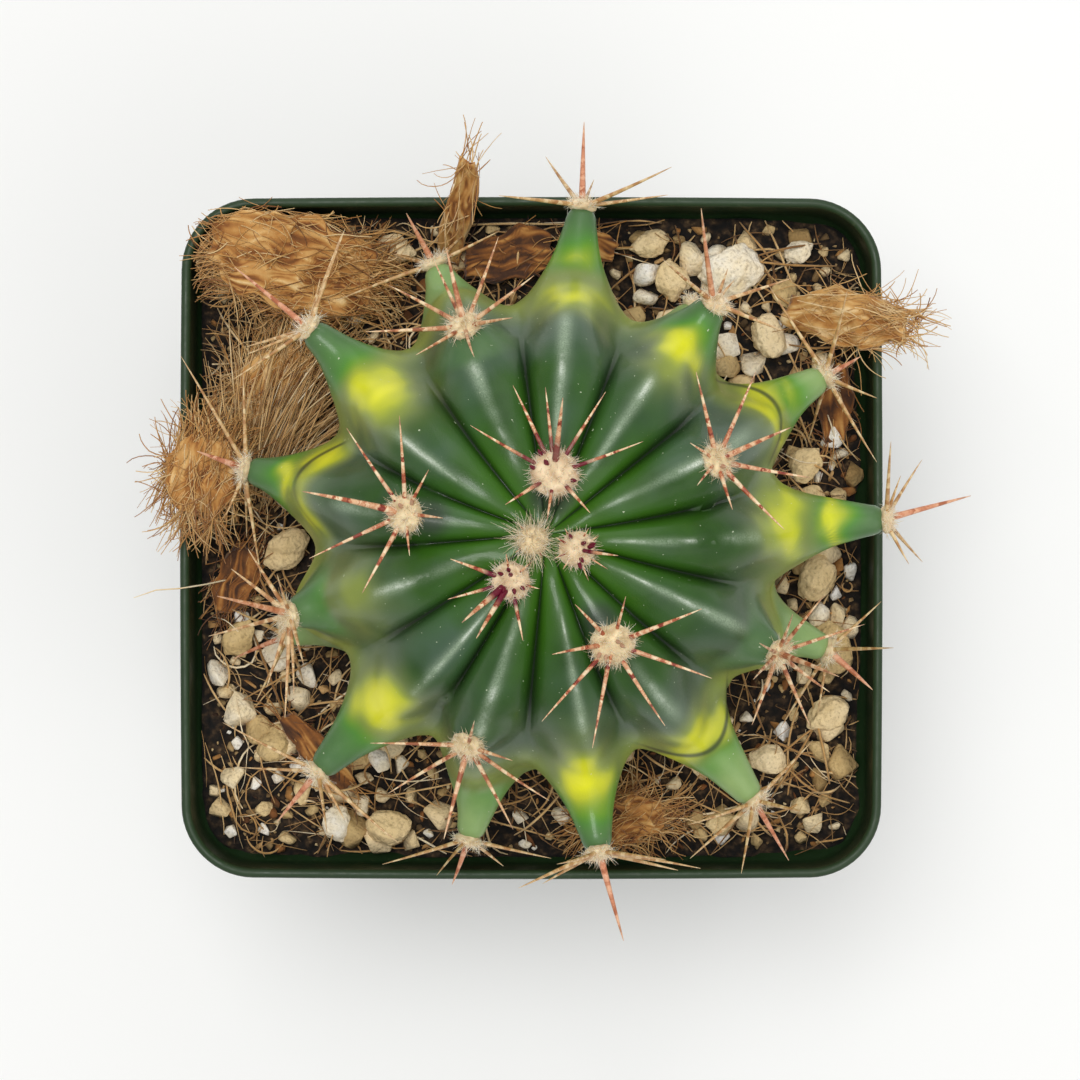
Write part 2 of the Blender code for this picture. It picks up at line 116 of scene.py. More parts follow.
# Areoles, youngest first: (distance from the stem's axis in mm, height in mm, way it faces above the horizon
# and shift round the stem in degrees, radius of its wool pad in mm).
AREOLES = (
    (1.7, 126.6, 88, 64, 2.2),
    (3.9, 127.2, 80, -28, 2.2),
    (6.8, 127.6, 74, 10, 2.4),
    (7, 127.6, 72, -2, 3),
    (14.6, 127, 66, -5, 2.7),
    (16.4, 126.2, 60, 4, 2.4),
    (21.3, 123.2, 52, -6, 2.2),
    (26.3, 118.2, 42, -1, 2.2),
    (26.2, 118.2, 42, -1, 2.2),
    (31.2, 114, 34, -1, 2.1),
    (32.3, 113, 30, 2, 2.1),
    (34.5, 112, 32, -3, 2.1),
    (38.9, 110, 22, 1, 1.9),
    (38.2, 109, 14, -1, 1.9),
    (41.6, 106.5, 8, 1, 1.9),
    (40.4, 104.5, 4, 3, 1.9),
    (40.8, 102.5, 2, -1, 1.9),
    (42, 100, 0, 2, 1.9),
    (38.4, 97.5, -2, 0, 1.9),
    (40.4, 96, -3, 0.4, 1.9),
    (39.6, 94.5, -4, 5, 1.9),
    (37.1, 93, -4, 0, 1.9),
    (38.8, 91.5, -6, 4, 1.9),
    (35.5, 90, -8, 6, 1.9),
    (35, 88, -8, 0, 1.9),
    (34, 86.5, -10, 0, 1.9),
)
# Lime patches where the tubercles meet the body: for each age, (distance in from the tip, half its length,
# strength, half its width), in mm as seen from above.
LIME_BANDS = {
    10: ((8.0, 3.0, 0.35, 5.0),),
    11: ((7.2, 2.9, 0.92, 3.0),),
    12: ((8.6, 3.4, 0.92, 3.6),),
    13: ((11.4, 3.6, 1.0, 4.2),),
    14: ((6.6, 1.5, 0.75, 5.0), (12.4, 2.6, 0.8, 6.0)),
    15: ((11.6, 3.6, 0.95, 4.2),),
    16: ((6.6, 1.8, 0.5, 4.0), (11.6, 2.6, 0.75, 5.5)),
    17: ((10.4, 2.6, 0.9, 6.5),),
    18: ((5.6, 1.6, 0.75, 3.5), (10.6, 3.4, 1.0, 6.5)),
    19: ((5.2, 1.4, 0.5, 4.0), (9.4, 3.0, 0.8, 6.5)),
    20: ((9.0, 3.0, 0.4, 6.0),),
    21: ((9.0, 3.0, 0.4, 6.0),),
}
# Where the end of a rib folds over the tubercle below it: for each age, how far in from the tip the fold is and how
# fast it bends back to either side, in mm. The fold is not modelled; a dark line of painted shade is drawn along it.
LIPS = {17: (8.6, 0.13), 18: (7.2, 0.15), 19: (7.6, 0.14)}


def linear(code):
    """An sRGB hex colour as linear red, green and blue."""
    channels = (int(code[i : i + 2], 16) / 255 for i in (1, 3, 5))
    return tuple(c / 12.92 if c <= 0.04045 else ((c + 0.055) / 1.055) ** 2.4 for c in channels)


def add_node(tree, kind, links=None, stops=(), **settings):
    """Adds a node with its settings.

    links gives an input, by name or number, a value, a hex colour or another node's output, and stops are a
    colour ramp's (position, hex colour) stops.
    """
    node = tree.nodes.new(kind)
    for name, value in settings.items():
        setattr(node, name, value)
    for key, source in (links or {}).items():
        if isinstance(source, bpy.types.NodeSocket):
            tree.links.new(source, node.inputs[key])
        elif isinstance(source, str) and source.startswith("#"):
            node.inputs[key].default_value = (*linear(source), 1)
        else:
            node.inputs[key].default_value = source
    if stops:
        elements = node.color_ramp.elements
        while len(elements) < len(stops):
            elements.new(0.5)
        for element, (place, code) in zip(elements, stops):
            element.position = place
            element.color = (*linear(code), 1)
    return node


def finish_shader(tree, shader, bump, height, **outputs):
    """Links outputs to the shader's sockets, and gives it relief: bump is (strength, depth in metres)."""
    strength, depth = bump
    relief = add_node(tree, "ShaderNodeBump", {"Strength": strength, "Distance": depth, "Height": height})
    tree.links.new(relief.outputs[0], shader.inputs["Normal"])
    for name, output in outputs.items():
        tree.links.new(output, shader.inputs[name.replace("_", " ")])


def new_material(name, **values):
    """A material and its node tree and shader, with values set on the shader's own sockets."""
    made = bpy.data.materials.new(name)
    made.use_nodes = True
    shader = made.node_tree.nodes["Principled BSDF"]
    for key, value in values.items():
        shader.inputs[key.replace("_", " ")].default_value = value
    return made, made.node_tree, shader


def add_piece(name, mesh, slot, *replaced):
    """Puts a finished mesh in the scene as a piece that rides on the model's body."""
    obj = in_scene(name, mesh)
    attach(obj, BODY)
    if replaced:
        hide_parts(*replaced)
    return obj


def store(mesh, name, values, kind="FLOAT"):
    """Writes one value or colour for each vertex."""
    attribute = mesh.attributes.new(name, kind, "POINT")
    field = "color" if kind == "FLOAT_COLOR" else "value"
    attribute.data.foreach_set(field, np.asarray(values, np.float32).ravel())


def mesh_from(name, points, faces, smooth=True):
    """A mesh of these points, in metres, and faces."""
    mesh = bpy.data.meshes.new(name)
    mesh.from_pydata([tuple(p) for p in points], [], [tuple(f) for f in faces])
    mesh.validate()
    if smooth:
        mesh.shade_smooth()
    return mesh


def mesh_of(bm, name, finish=None):
    """Turns edited geometry into a mesh. With a finish it is a finished, smooth one."""
    mesh = bpy.data.meshes.new(name)
    bm.to_mesh(mesh)
    bm.free()
    if finish:
        mesh.shade_smooth()
        mesh.materials.append(finish)
    return mesh


def applied(holder, *helpers):
    """The plain mesh of an object with its modifiers applied. The object and its helpers are removed."""
    bpy.context.view_layer.update()
    graph = bpy.context.evaluated_depsgraph_get()
    mesh = bpy.data.meshes.new_from_object(holder.evaluated_get(graph))
    holder.modifiers.clear()
    for obj in (holder, *helpers):
        bpy.data.objects.remove(obj)
    return mesh


def in_scene(name, mesh):
    """A new object in the scene."""
    obj = bpy.data.objects.new(name, mesh)
    bpy.context.scene.collection.objects.link(obj)
    return obj


def fine_copy(node, *subdivisions):
    """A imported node's mesh with its doubles merged, subdivided by each (kind, levels)."""
    bm = bmesh.new()
    bm.from_mesh(frame["nodes"][node].data)
    bmesh.ops.remove_doubles(bm, verts=bm.verts, dist=MERGE_REACH)
    holder = in_scene("copy", mesh_of(bm, "copy"))
    for kind, levels in subdivisions:
        fine = holder.modifiers.new(kind, "SUBSURF")
        fine.subdivision_type = kind
        fine.levels = fine.render_levels = levels
    return applied(holder)


# Stem


def smooth_step(low, high, value):
    """0 below low, 1 above high, and a smooth rise between them."""
    t = np.clip((value - low) / (high - low), 0, 1)
    return t * t * (3 - 2 * t)


def outline_points(count):
    """The crest outline as count rows of (radius, height, furrow depth), evenly spaced along its length."""
    knots = np.array(STEM_OUTLINE, float)
    knots = np.vstack([2 * knots[0] - knots[1], knots, 2 * knots[-1] - knots[-2]])
    knots[0, 1] = knots[2, 1]
    dense = []
    for a, b, c, d in zip(knots, knots[1:], knots[2:], knots[3:]):
        for t in np.linspace(0, 1, 40, endpoint=False):
            dense.append(
                0.5
                * (2 * b + (c - a) * t + (2 * a - 5 * b + 4 * c - d) * t**2 + (3 * b - a - 3 * c + d) * t**3)
            )
    dense = np.array(dense + [knots[-2]])
    steps = np.hypot(*np.diff(dense[:, :2], axis=0).T)
    length = np.concatenate([[0], np.cumsum(steps)])
    # The buried root needs few rows, so distance counts for less below the mix.
    weight = np.where(dense[1:, 1] > 70, 1.0, 0.25)
    travel = np.concatenate([[0], np.cumsum(steps * weight)])
    at = np.interp(np.linspace(0, travel[-1], count), travel, length)
    return np.column_stack([np.interp(at, length, dense[:, k]) for k in range(3)])


def shift_of(rib, radii):
    """How far round the stem a rib's crest stands off its even place, in degrees, at each radius."""
    inner, outer = AREOLES[rib], AREOLES[rib + RIBS]
    return np.interp(radii, (max(inner[0], 6), outer[0]), (np.clip(inner[3], -9, 9), outer[3]))


class StemShape:
    """The stem's surface as a distance from any point, in mm about the stem's axis."""

    def __init__(self, settings):
        self.flare = settings.flare
        rows = outline_points(settings.rows)[1:-1]
        self.radii, self.heights, self.depths = rows.T
        self.reach = np.hypot(self.radii, self.heights - STEM_CENTRE)
        self.lift = np.arctan2(self.heights - STEM_CENTRE, self.radii)
        along = np.gradient(rows[:, :2], axis=0)
        along /= np.linalg.norm(along, axis=1)[:, None]
        ray = np.column_stack([self.radii, self.heights - STEM_CENTRE]) / self.reach[:, None]
        self.slope = np.clip(ray[:, 1] * along[:, 0] - ray[:, 0] * along[:, 1], 0.35, 1)
        crests = np.column_stack(
            [FIRST_ANGLE + DIVERGENCE * rib + shift_of(rib, self.radii) for rib in range(RIBS)]
        )
        self.order = np.argsort(crests[0] % 360)
        self.crests = np.unwrap(np.radians(crests[:, self.order] % 360), axis=0)
        following = np.column_stack([self.crests[:, 1:], self.crests[:, :1] + 2 * math.pi])
        self.valleys = (self.crests + following) / 2
        self.swell = np.random.default_rng(4).uniform(-0.3, 0.3, RIBS)
        self.cones = []
        for age, (radius, height, lift, shift, pad) in enumerate(AREOLES):
            turn = math.radians(FIRST_ANGLE + DIVERGENCE * age + shift)
            lift = math.radians(lift)
            level = math.cos(lift)
            facing = np.array((math.cos(turn) * level, math.sin(turn) * level, math.sin(lift)))
            middle = np.array((math.cos(turn) * radius, math.sin(turn) * radius, height))
            self.cones.append((middle - facing * 0.6, facing, min(pad, 2.1)))

    def place(self, points):
        """For each point: its row as a fraction, its rib, and how far it is across it, from -1 to 1."""
        level = np.hypot(points[:, 0], points[:, 1])
        lift = np.arctan2(points[:, 2] - STEM_CENTRE, level)
        row = np.interp(-lift, -self.lift, np.arange(len(self.lift)))
        nearest = np.clip(np.round(row).astype(int), 0, len(self.lift) - 1)
        turn = np.arctan2(points[:, 1], points[:, 0])
        off = (turn[:, None] - self.crests[nearest] + math.pi) % (2 * math.pi) - math.pi
        rib = np.abs(off).argmin(axis=1)
        off = off[np.arange(len(points)), rib]
        ahead = self.valleys[nearest, rib] - self.crests[nearest, rib]
        before = self.valleys[nearest, rib - 1] - self.crests[nearest, rib]
        behind = (-before) % (2 * math.pi)
        return row, rib, np.clip(off / np.where(off > 0, ahead, behind), -1, 1)

    def body(self, points):
        """Distance from the ribbed body alone."""
        row, rib, across = self.place(points)
        at = np.arange(len(self.radii))
        radius, depth, reach, slope, height = (
            np.interp(row, at, values)
            for values in (self.radii, self.depths, self.reach, self.slope, self.heights)
        )
        pillow = np.maximum(1 - across**2, 0) ** 0.62
        saddle = np.cos(across * math.pi / 2) ** 2
        outer = np.where(height > 110, smooth_step(20, 29, radius), 1)
        lobe = pillow * (1 - outer) + saddle * outer
        dip = depth * (1 - lobe - self.swell[rib] * (1 - outer) * lobe)
        return (np.linalg.norm(points - (0, 0, STEM_CENTRE), axis=1) - reach) * slope + dip

    def distance(self, points, body=None):
        """Distance from the body with its tubercles, their roots rounded into it."""
        found = self.body(points) if body is None else body.copy()
        for age, (tip, facing, pad) in enumerate(self.cones):
            length = 5.5 if age < CROWN_AREOLES else 16
            blend = 3.0 if age < 11 else 4.5
            near = np.linalg.norm(points - tip, axis=1) < 26
            if near.any():
                cone = blunt_cone(points[near], tip, facing, length, pad * 0.98, self.flare)
                found[near] = blend_min(found[near], cone, blend)
        return found

    def slope_at(self, points):
        """The direction in which the distance grows fastest, which is straight out of the surface."""
        step = 0.05
        ways = np.eye(3) * step
        found = np.column_stack(
            [self.distance(points + way) - self.distance(points - way) for way in ways]
        )
        return found / np.maximum(np.linalg.norm(found, axis=1), 1e-9)[:, None]

    def drop(self, points, passes=6):
        """Moves points straight onto the surface."""
        points = points.copy()
        for _ in range(passes):
            points -= self.slope_at(points) * np.clip(self.distance(points), -1.5, 1.5)[:, None] * 0.9
        return points


def blunt_cone(points, tip, facing, length, tip_radius, flare):
    """Distance from points to a cone with round ends whose narrow end is at tip."""
    large = tip_radius + flare * length
    start = tip - facing * tip_radius
    span = length - tip_radius
    run = -facing * span
    offset = points - start
    along = np.clip(offset @ run / span**2, 0, 1)
    radius = tip_radius + (large - tip_radius) * along
    gap = np.linalg.norm(offset - along[:, None] * run, axis=1)
    return (gap - radius) * (span / math.hypot(span, large - tip_radius))


def blend_min(a, b, reach):
    """The smaller of two distances, rounded where they are within reach of each other."""
    overlap = np.maximum(reach - np.abs(a - b), 0) / reach
    return np.minimum(a, b) - overlap**2 * reach / 4


def stem_grid(shape, per_half):
    """Points on the body in rows from the growing point down, with a column along each crest and each valley between
    ribs.
    """
    before = np.column_stack([shape.valleys[:, -1:] - 2 * math.pi, shape.valleys[:, :-1]])
    columns = []
    for place in range(RIBS):
        crest = shape.crests[:, place]
        for step in range(per_half):
            columns.append(before[:, place] + (crest - before[:, place]) * step / per_half)
        for step in range(per_half):
            columns.append(crest + (shape.valleys[:, place] - crest) * step / per_half)
    turns = np.column_stack(columns)
    level = np.cos(shape.lift)[:, None]
    ways = np.stack(
        [np.cos(turns) * level, np.sin(turns) * level, np.sin(shape.lift)[:, None] + 0 * turns], axis=-1
    )
    return ways, turns.shape


def stem_surface(settings):
    """The finished stem in mm about its axis, with its faces, and the shape it was made from."""
    shape = StemShape(settings)
    ways, (rows, around) = stem_grid(shape, settings.columns_per_rib // 2)
    ways = ways.reshape(-1, 3)
    centre = np.array((0, 0, STEM_CENTRE))
    travel = np.full(len(ways), 30.0)
    travel -= shape.body(centre + ways * travel[:, None])
    for _ in range(5):
        travel -= shape.body(centre + ways * travel[:, None])
    points = centre + ways * travel[:, None]
    drawn = np.zeros(len(points))
    for age, (tip, facing, pad) in enumerate(shape.cones):
        if age < CROWN_AREOLES:
            continue
        # The foot of a tubercle is where its axis leaves the body, and the disc round it is drawn out.
        steps = np.linspace(0, 18, 181)
        line = tip - steps[:, None] * facing
        foot = line[np.argmax(shape.body(line) < 0)]
        length = np.linalg.norm(tip - foot)
        offset = points - foot
        deep = offset @ facing
        side = offset - deep[:, None] * facing
        off_axis = np.linalg.norm(side, axis=1)
        disc = min(4.5 + length * 0.3, 7.5, math.hypot(*foot[:2]) * math.pi / RIBS * 0.9)
        inside = (off_axis < disc) & (np.abs(deep) < 9)
        share = off_axis[inside] / disc
        travelled = share * (pad + length)
        out = np.clip(length + pad - travelled, 0, length)
        wide = np.minimum(travelled, pad) + np.maximum(travelled - pad, 0) * shape.flare
        blend = smooth_step(0.75, 1, share)
        wide = wide * (1 - blend) + off_axis[inside] * blend
        unit = side[inside] / np.maximum(off_axis[inside], 1e-6)[:, None]
        points[inside] = foot + unit * wide[:, None] + facing * (out + deep[inside] * share**2)[:, None]
        drawn[inside] = np.maximum(drawn[inside], 1 - share**4)
    index = np.arange(rows * around).reshape(rows, around)
    moving = drawn > 0.02
    left, right = np.roll(index, 1, axis=1).ravel(), np.roll(index, -1, axis=1).ravel()
    above = np.vstack([index[:1], index[:-1]]).ravel()
    below = np.vstack([index[1:], index[-1:]]).ravel()
    for _ in range(settings.passes):
        middle = (points[left] + points[right] + points[above] + points[below]) / 4
        pull = (drawn[moving] * 0.6)[:, None]
        points[moving] += (middle[moving] - points[moving]) * pull
        points[moving] = shape.drop(points[moving], 1)
    fixed = ~moving
    for _ in range(4):
        gap = shape.distance(points[fixed])
        away = points[fixed] - centre
        away /= np.linalg.norm(away, axis=1)[:, None]
        points[fixed] -= away * np.clip(gap, -1, 1)[:, None] * 0.9
    points[moving] = shape.drop(points[moving], 3)
    after = np.roll(index, -1, axis=1)
    quads = np.stack([index[:-1], index[1:], after[1:], after[:-1]], axis=-1).reshape(-1, 4)
    faces = quads.tolist()
    last = rows * around
    faces += [(int(a), int(b), last) for a, b in zip(index[0], after[0])]
    faces += [(int(b), int(a), last + 1) for a, b in zip(index[-1], after[-1])]
    ends = np.array([[0, 0, shape.heights[0] - 0.3], [0, 0, shape.heights[-1] - 0.5]])
    return np.vstack([points, ends]), faces, shape


def stem_masks(points, shape):
    """The values that colour the skin, from 0 to 1 at each point."""
    row, rib, across = shape.place(points)
    height, level = points[:, 2], np.hypot(points[:, 0], points[:, 1])
    lime, tips, low = (np.zeros(len(points)) for _ in range(3))
    lip, lipped = np.full(len(points), 3.0), np.zeros(len(points))
    wander = np.array([noise.noise_vector(Vector(p) / 3.2)[:2] for p in points]) * 1.3
    for age, (tip, facing, pad) in enumerate(shape.cones):
        if age < CROWN_AREOLES:
            continue
        offset = points - tip
        inward = -(offset @ facing)
        side = np.linalg.norm(offset + inward[:, None] * facing, axis=1)
        level_way = facing[:2] / np.linalg.norm(facing[:2])
        inward_level = -(offset[:, :2] @ level_way)
        lateral = np.abs(offset[:, 0] * level_way[1] - offset[:, 1] * level_way[0])
        for middle, half, strength, width in LIME_BANDS.get(age, ()):
            ragged = inward_level - middle + wander[:, 0]
            spread = np.abs(lateral + wander[:, 1]) / width
            band = np.exp(-np.abs(ragged / (half * 1.15)) ** 1.7 - spread**2.2)
            above = smooth_step(-5, -1, offset[:, 2]) * (1 - smooth_step(12, 16, offset[:, 2]))
            lime = np.maximum(lime, band * above * strength)
        if age in LIPS:
            reach, bow = LIPS[age]
            over = inward_level - reach - bow * lateral**2
            here = (lateral < 11) & (np.abs(over) < 6) & (np.abs(offset[:, 2]) < 16)
            lip[here] = over[here]
            weight = 1 - smooth_step(5.5, 7.5, lateral)
            weight *= (1 - smooth_step(2.5, 4.5, np.abs(over))) * (1 - smooth_step(9, 12, np.abs(offset[:, 2])))
            lipped = np.maximum(lipped, np.where(here, weight, 0))
        if age >= 8:
            slim = 1 - smooth_step(3.6, 5.4, side)
            tips = np.maximum(tips, slim * (1 - smooth_step(6.5, 10, inward)))
        if age >= 19 or age == 17:
            low = np.maximum(low, (1 - smooth_step(4.5, 7, side)) * (1 - smooth_step(9, 15, inward)))
    rim = smooth_step(86, 96, height) * (1 - smooth_step(103, 115, height)) * smooth_step(24, 28, level)
    haze = smooth_step(24, 29, level) * (1 - smooth_step(112, 120, height)) * smooth_step(96, 106, height)
    # Painted shade: the skin is painted nearly black at the bottom of each furrow, from the crown out to about 26 mm
    # from the axis.
    furrow = np.abs(across) ** 6 * (1 - smooth_step(19, 26, level)) * smooth_step(95, 105, height)
    crown = 1 - smooth_step(3, 15, level)
    inner = 1 - smooth_step(9, 27, level)
    # Painted highlights along the crests: glint is a thin near-white streak, and crest is a broader pale band that
    # is partly the pale wax itself.
    glint = np.exp(-(((across - 0.12) / 0.055) ** 2)) * smooth_step(6, 10, level) * (1 - smooth_step(20, 27, level))
    crest = np.exp(-(((across - 0.12) / 0.14) ** 2)) * smooth_step(5, 11, level) * (1 - smooth_step(24, 30, level))
    # Painted shade: a dark grey spot in the notch just inside and below three of the youngest areoles, where the
    # recess under each tubercle would be.
    notch = np.zeros(len(points))
    for tip, facing, pad in shape.cones[3:6]:
        toward = tip - (*facing[:2] / np.linalg.norm(facing[:2]) * 2.6, 1.0)
        notch = np.maximum(notch, 1 - smooth_step(1.2, 3.4, np.linalg.norm(points - toward, axis=1)))
    tone = np.random.default_rng(9).uniform(0, 1, RIBS)[rib]
    return {
        "lime": lime,
        "tips": tips,
        "low": low,
        "shoulder": rim,
        "haze": haze,
        "lip": lip,
        "lipped": lipped,
        "furrow": furrow,
        "across": np.abs(across),
        "crown": crown,
        "inner": inner,
        "crest": crest,
        "glint": glint,
        "notch": notch,
        "tone": tone,
    }


# The skin's patterns, as (scale, detail): patches of about 9 mm, mottling of 4 mm, freckles of 0.5 mm and a
# grain of wax of 0.15 mm.
SKIN_PATTERNS = {"broad": (110.0, 2.0), "mottle": (240.0, 3.0), "fleck": (1900.0, 2.0), "grain": (6000.0, 1.0)}
# What is worked out from the patterns and the stem's masks, in order: (name, operation, inputs).
SKIN_SUMS = (
    ("blotch", "MULTIPLY_ADD", "broad", 4.0, -1.6),
    ("rib_share", "MULTIPLY_ADD", "tone", 0.6, 0.3),
    ("slate", "MULTIPLY", "blotch", "rib_share"),
    ("grainy", "MULTIPLY_ADD", "grain", 0.9, 0.1),
    ("patchy", "MULTIPLY_ADD", "broad", 3.0, -0.8),
    ("dusted", "MULTIPLY", "grainy", "patchy"),
    # The next sums mask the painted highlights along the crests: a pale band, partly the wax's own paleness, and
    # thin near-white glints.
    ("bloom_and_highlight", "MULTIPLY", "crest", "dusted"),
    ("streak", "MULTIPLY_ADD", "mottle", 5.0, -2.4),
    ("shine", "MULTIPLY", "glint", "streak"),
    ("sparkle", "MULTIPLY_ADD", "grain", 1.6, 0.0),
    ("gleam", "MULTIPLY", "shine", "sparkle"),
    ("young", "MULTIPLY", "crown", 0.8),
    ("steep", "POWER", "across", 1.7),
    ("flank", "MULTIPLY", "steep", 0.85),
    ("edge", "MULTIPLY", "flank", "inner"),
    ("notch_shade", "MULTIPLY", "notch", 0.8),
    ("hazy", "MULTIPLY", "haze", 0.7),
    ("rim_share", "MULTIPLY_ADD", "broad", 1.3, 0.35),
    ("rim", "MULTIPLY", "shoulder", "rim_share"),
    ("wobble", "MULTIPLY_ADD", "broad", 1.0, -0.5),
    ("swing", "MULTIPLY", "wobble", "lime"),
    ("patch", "ADD", "lime", "swing"),
    ("fringed", "MULTIPLY", "patch", 3.2),
    ("yellow", "MULTIPLY_ADD", "patch", 2.4, -0.45),
    ("fold", "ABSOLUTE", "lip"),
    ("freckle", "GREATER_THAN", "fleck", 0.75),
    ("speck", "MULTIPLY", "freckle", 0.7),
    ("gloss", "MULTIPLY_ADD", "grain", 0.24, 0.28),
)
# Those that may be under 0 or over 1.
SIGNED_SUMS = ("wobble", "swing", "fold")
# The skin's own greens, and those of the noses, the lowest noses and the fringe round a yellow patch: each is
# blended from one colour to the other by a pattern or mask. Towards the tip the fringe is bright green and
# towards the body greyish olive.
SKIN_BLENDS = {
    "body": ("mottle", "#16360A", "#34591E"),
    "nose": ("mottle", "#3A5F38", "#5E7A4E"),
    "low_nose": ("mottle", "#6F9058", "#97AE6E"),
    "fringe": ("tips", "#768445", "#4E8C24"),
}
# What lies over the body's green, from the bottom up: (where, colour).
SKIN_LAYERS = (
    ("slate", "#435A48"),
    # Painted highlights along the crests: a pale band, partly the wax's own colour, and near-white glints.
    ("bloom_and_highlight", "#A9BCA0"),
    ("gleam", "#DCE4D6"),
    ("young", "#38620C"),
    ("edge", "#3C720A"),
    # Painted shade in the notch beside the young areoles.
    ("notch_shade", "#2C342C"),
    # Painted shade, nearly black, at the bottom of the furrows.
    ("furrow", "#0A1C08"),
    ("hazy", "#5C6F50"),
    ("rim", "#8FA03C"),
    ("tips", "nose"),
    ("low", "low_nose"),
    ("fringed", "fringe"),
    ("yellow", "patch_colour"),
    # Painted shade along the fold under a rib's end.
    ("crease_shade", "#2F4020"),
    ("speck", "#C9D3B4"),
)
PATCH_STOPS = ((0.2, "#74862E"), (0.42, "#98A632"), (0.66, "#BFC428"), (0.86, "#DDDD22"), (1.0, "#E8E636"))


def skin_material(masks):
    """Cactus skin: a thick, wax-bloomed cuticle, which gives a soft broad gloss over mottled green. Along the crests
    it has painted highlights: a pale band, partly the wax's own paleness and partly a painted highlight, and thin
    near-white glints that are painted highlights.
    """
    made, tree, shader = new_material(
        "cactus_skin_waxy", IOR=1.4, Specular_IOR_Level=0.4, Coat_Weight=0.16, Coat_Roughness=0.14
    )
    where = add_node(tree, "ShaderNodeTexCoord").outputs["Object"]
    found = {name: add_node(tree, "ShaderNodeAttribute", attribute_name=name).outputs["Fac"] for name in masks}
    for name, (scale, detail) in SKIN_PATTERNS.items():
        pattern = add_node(tree, "ShaderNodeTexNoise", {"Vector": where, "Scale": scale, "Detail": detail})
        found[name] = pattern.outputs[0]
    for name, operation, *inputs in SKIN_SUMS:
        links = {number: found.get(given, given) for number, given in enumerate(inputs)}
        clamped = name not in SIGNED_SUMS
        found[name] = add_node(tree, "ShaderNodeMath", links, operation=operation, use_clamp=clamped).outputs[0]
    # Painted shade: a dark line along the fold where a rib's end lies over the tubercle below it.
    thin = add_node(
        tree,
        "ShaderNodeMapRange",
        {"Value": found["fold"], "From Min": 0.12, "From Max": 0.5, "To Min": 0.85, "To Max": 0.0},
    )
    crease_shade = add_node(
        tree, "ShaderNodeMath", {0: thin.outputs[0], 1: found["lipped"]}, operation="MULTIPLY", use_clamp=True
    )
    found["crease_shade"] = crease_shade.outputs[0]
    found["patch_colour"] = add_node(
        tree, "ShaderNodeValToRGB", {0: found["patch"]}, stops=PATCH_STOPS
    ).outputs[0]
    for name, (share, first, second) in SKIN_BLENDS.items():
        links = {0: found[share], 6: first, 7: second}
        found[name] = add_node(tree, "ShaderNodeMix", links, data_type="RGBA").outputs[2]
    colour = found["body"]
    for share, over in SKIN_LAYERS:
        links = {0: found[share], 6: colour, 7: found.get(over, over)}
        colour = add_node(tree, "ShaderNodeMix", links, data_type="RGBA").outputs[2]
    finish_shader(tree, shader, (0.25, 0.0001), found["grain"], Base_Color=colour, Roughness=found["gloss"])
    return made


class CactusStemSettings(bpy.types.PropertyGroup):
    rows: IntProperty(name="Rows", description="Rows of faces from the growing point down", default=245)
    columns_per_rib: IntProperty(name="Columns per rib", description="Faces across one rib", default=30)
    passes: IntProperty(name="Passes", description="Passes that even out the tubercles' faces", default=24)
    flare: FloatProperty(name="Flare", description="How fast a tubercle widens inwards", default=0.2)


class CACTUS_OT_add_stem(bpy.types.Operator):
    """Adds the ribbed stem with its tubercles"""

    bl_idname = "cactus.add_stem"
    bl_label = "Add stem"

    def execute(self, context):
        settings = context.scene.cactus_stem
        points, faces, shape = stem_surface(settings)
        place = (points + (*STEM_AXIS, 0)) * MM
        mesh = mesh_from("cactus_stem_fine", place, faces)
        masks = stem_masks(points, shape)
        for name, values in masks.items():
            store(mesh, name, values)
        mesh.materials.append(skin_material(masks))
        add_piece("cactus_stem_fine", mesh, "cactus_skin", "cactus_stem")
        return {"FINISHED"}


# Strands: spines, wool and fibres


class Strands:
    """Open lines with a thickness and colour values at each point, made into tubes all at once."""

    def __init__(self, *values):
        self.points, self.edges = [], []
        self.values = {name: [] for name in ("thickness", *values)}

    def add(self, line, **values):
        """line is a list of points in mm; each value is one number or one for each point."""
        first = len(self.points)
        self.points += [tuple(p) for p in line]
        self.edges += [(i, i + 1) for i in range(first, len(self.points) - 1)]
        for name, kept in self.values.items():
            value = values[name]
            kept += list(value) if np.ndim(value) else [value] * len(line)


def new_tree(name, inputs, output):
    """An empty node tree with these (name, kind) inputs and one geometry output, and its inputs' sockets."""
    tree = bpy.data.node_groups.new(name, "GeometryNodeTree")
    for label, kind in inputs:
        tree.interface.new_socket(label, in_out="INPUT", socket_type=f"NodeSocket{kind}")
    tree.interface.new_socket(output, in_out="OUTPUT", socket_type="NodeSocketGeometry")
    return tree, add_node(tree, "NodeGroupInput").outputs


def tube_tree():
    """Nodes that turn lines into closed round tubes of each point's own thickness."""
    tree, given = new_tree(
        "tubes_along_lines", (("Lines", "Geometry"), ("Sides", "Int"), ("Finish", "Material")), "Tubes"
    )
    curves = add_node(tree, "GeometryNodeMeshToCurve", {"Mesh": given["Lines"]})
    circle = add_node(tree, "GeometryNodeCurvePrimitiveCircle", {"Resolution": given["Sides"], 4: 1.0})
    thickness = add_node(tree, "GeometryNodeInputNamedAttribute", {"Name": "thickness"}, data_type="FLOAT")
    tubes = add_node(
        tree,
        "GeometryNodeCurveToMesh",
        {0: curves.outputs[0], 1: circle.outputs[0], "Scale": thickness.outputs[0], "Fill Caps": True},
    )
    smooth = add_node(tree, "GeometryNodeSetShadeSmooth", {0: tubes.outputs[0]})
    real = add_node(tree, "GeometryNodeRealizeInstances", {0: smooth.outputs[0]})
    made = add_node(tree, "GeometryNodeSetMaterial", {0: real.outputs[0], "Material": given["Finish"]})
    add_node(tree, "NodeGroupOutput", {0: made.outputs[0]})
    return tree


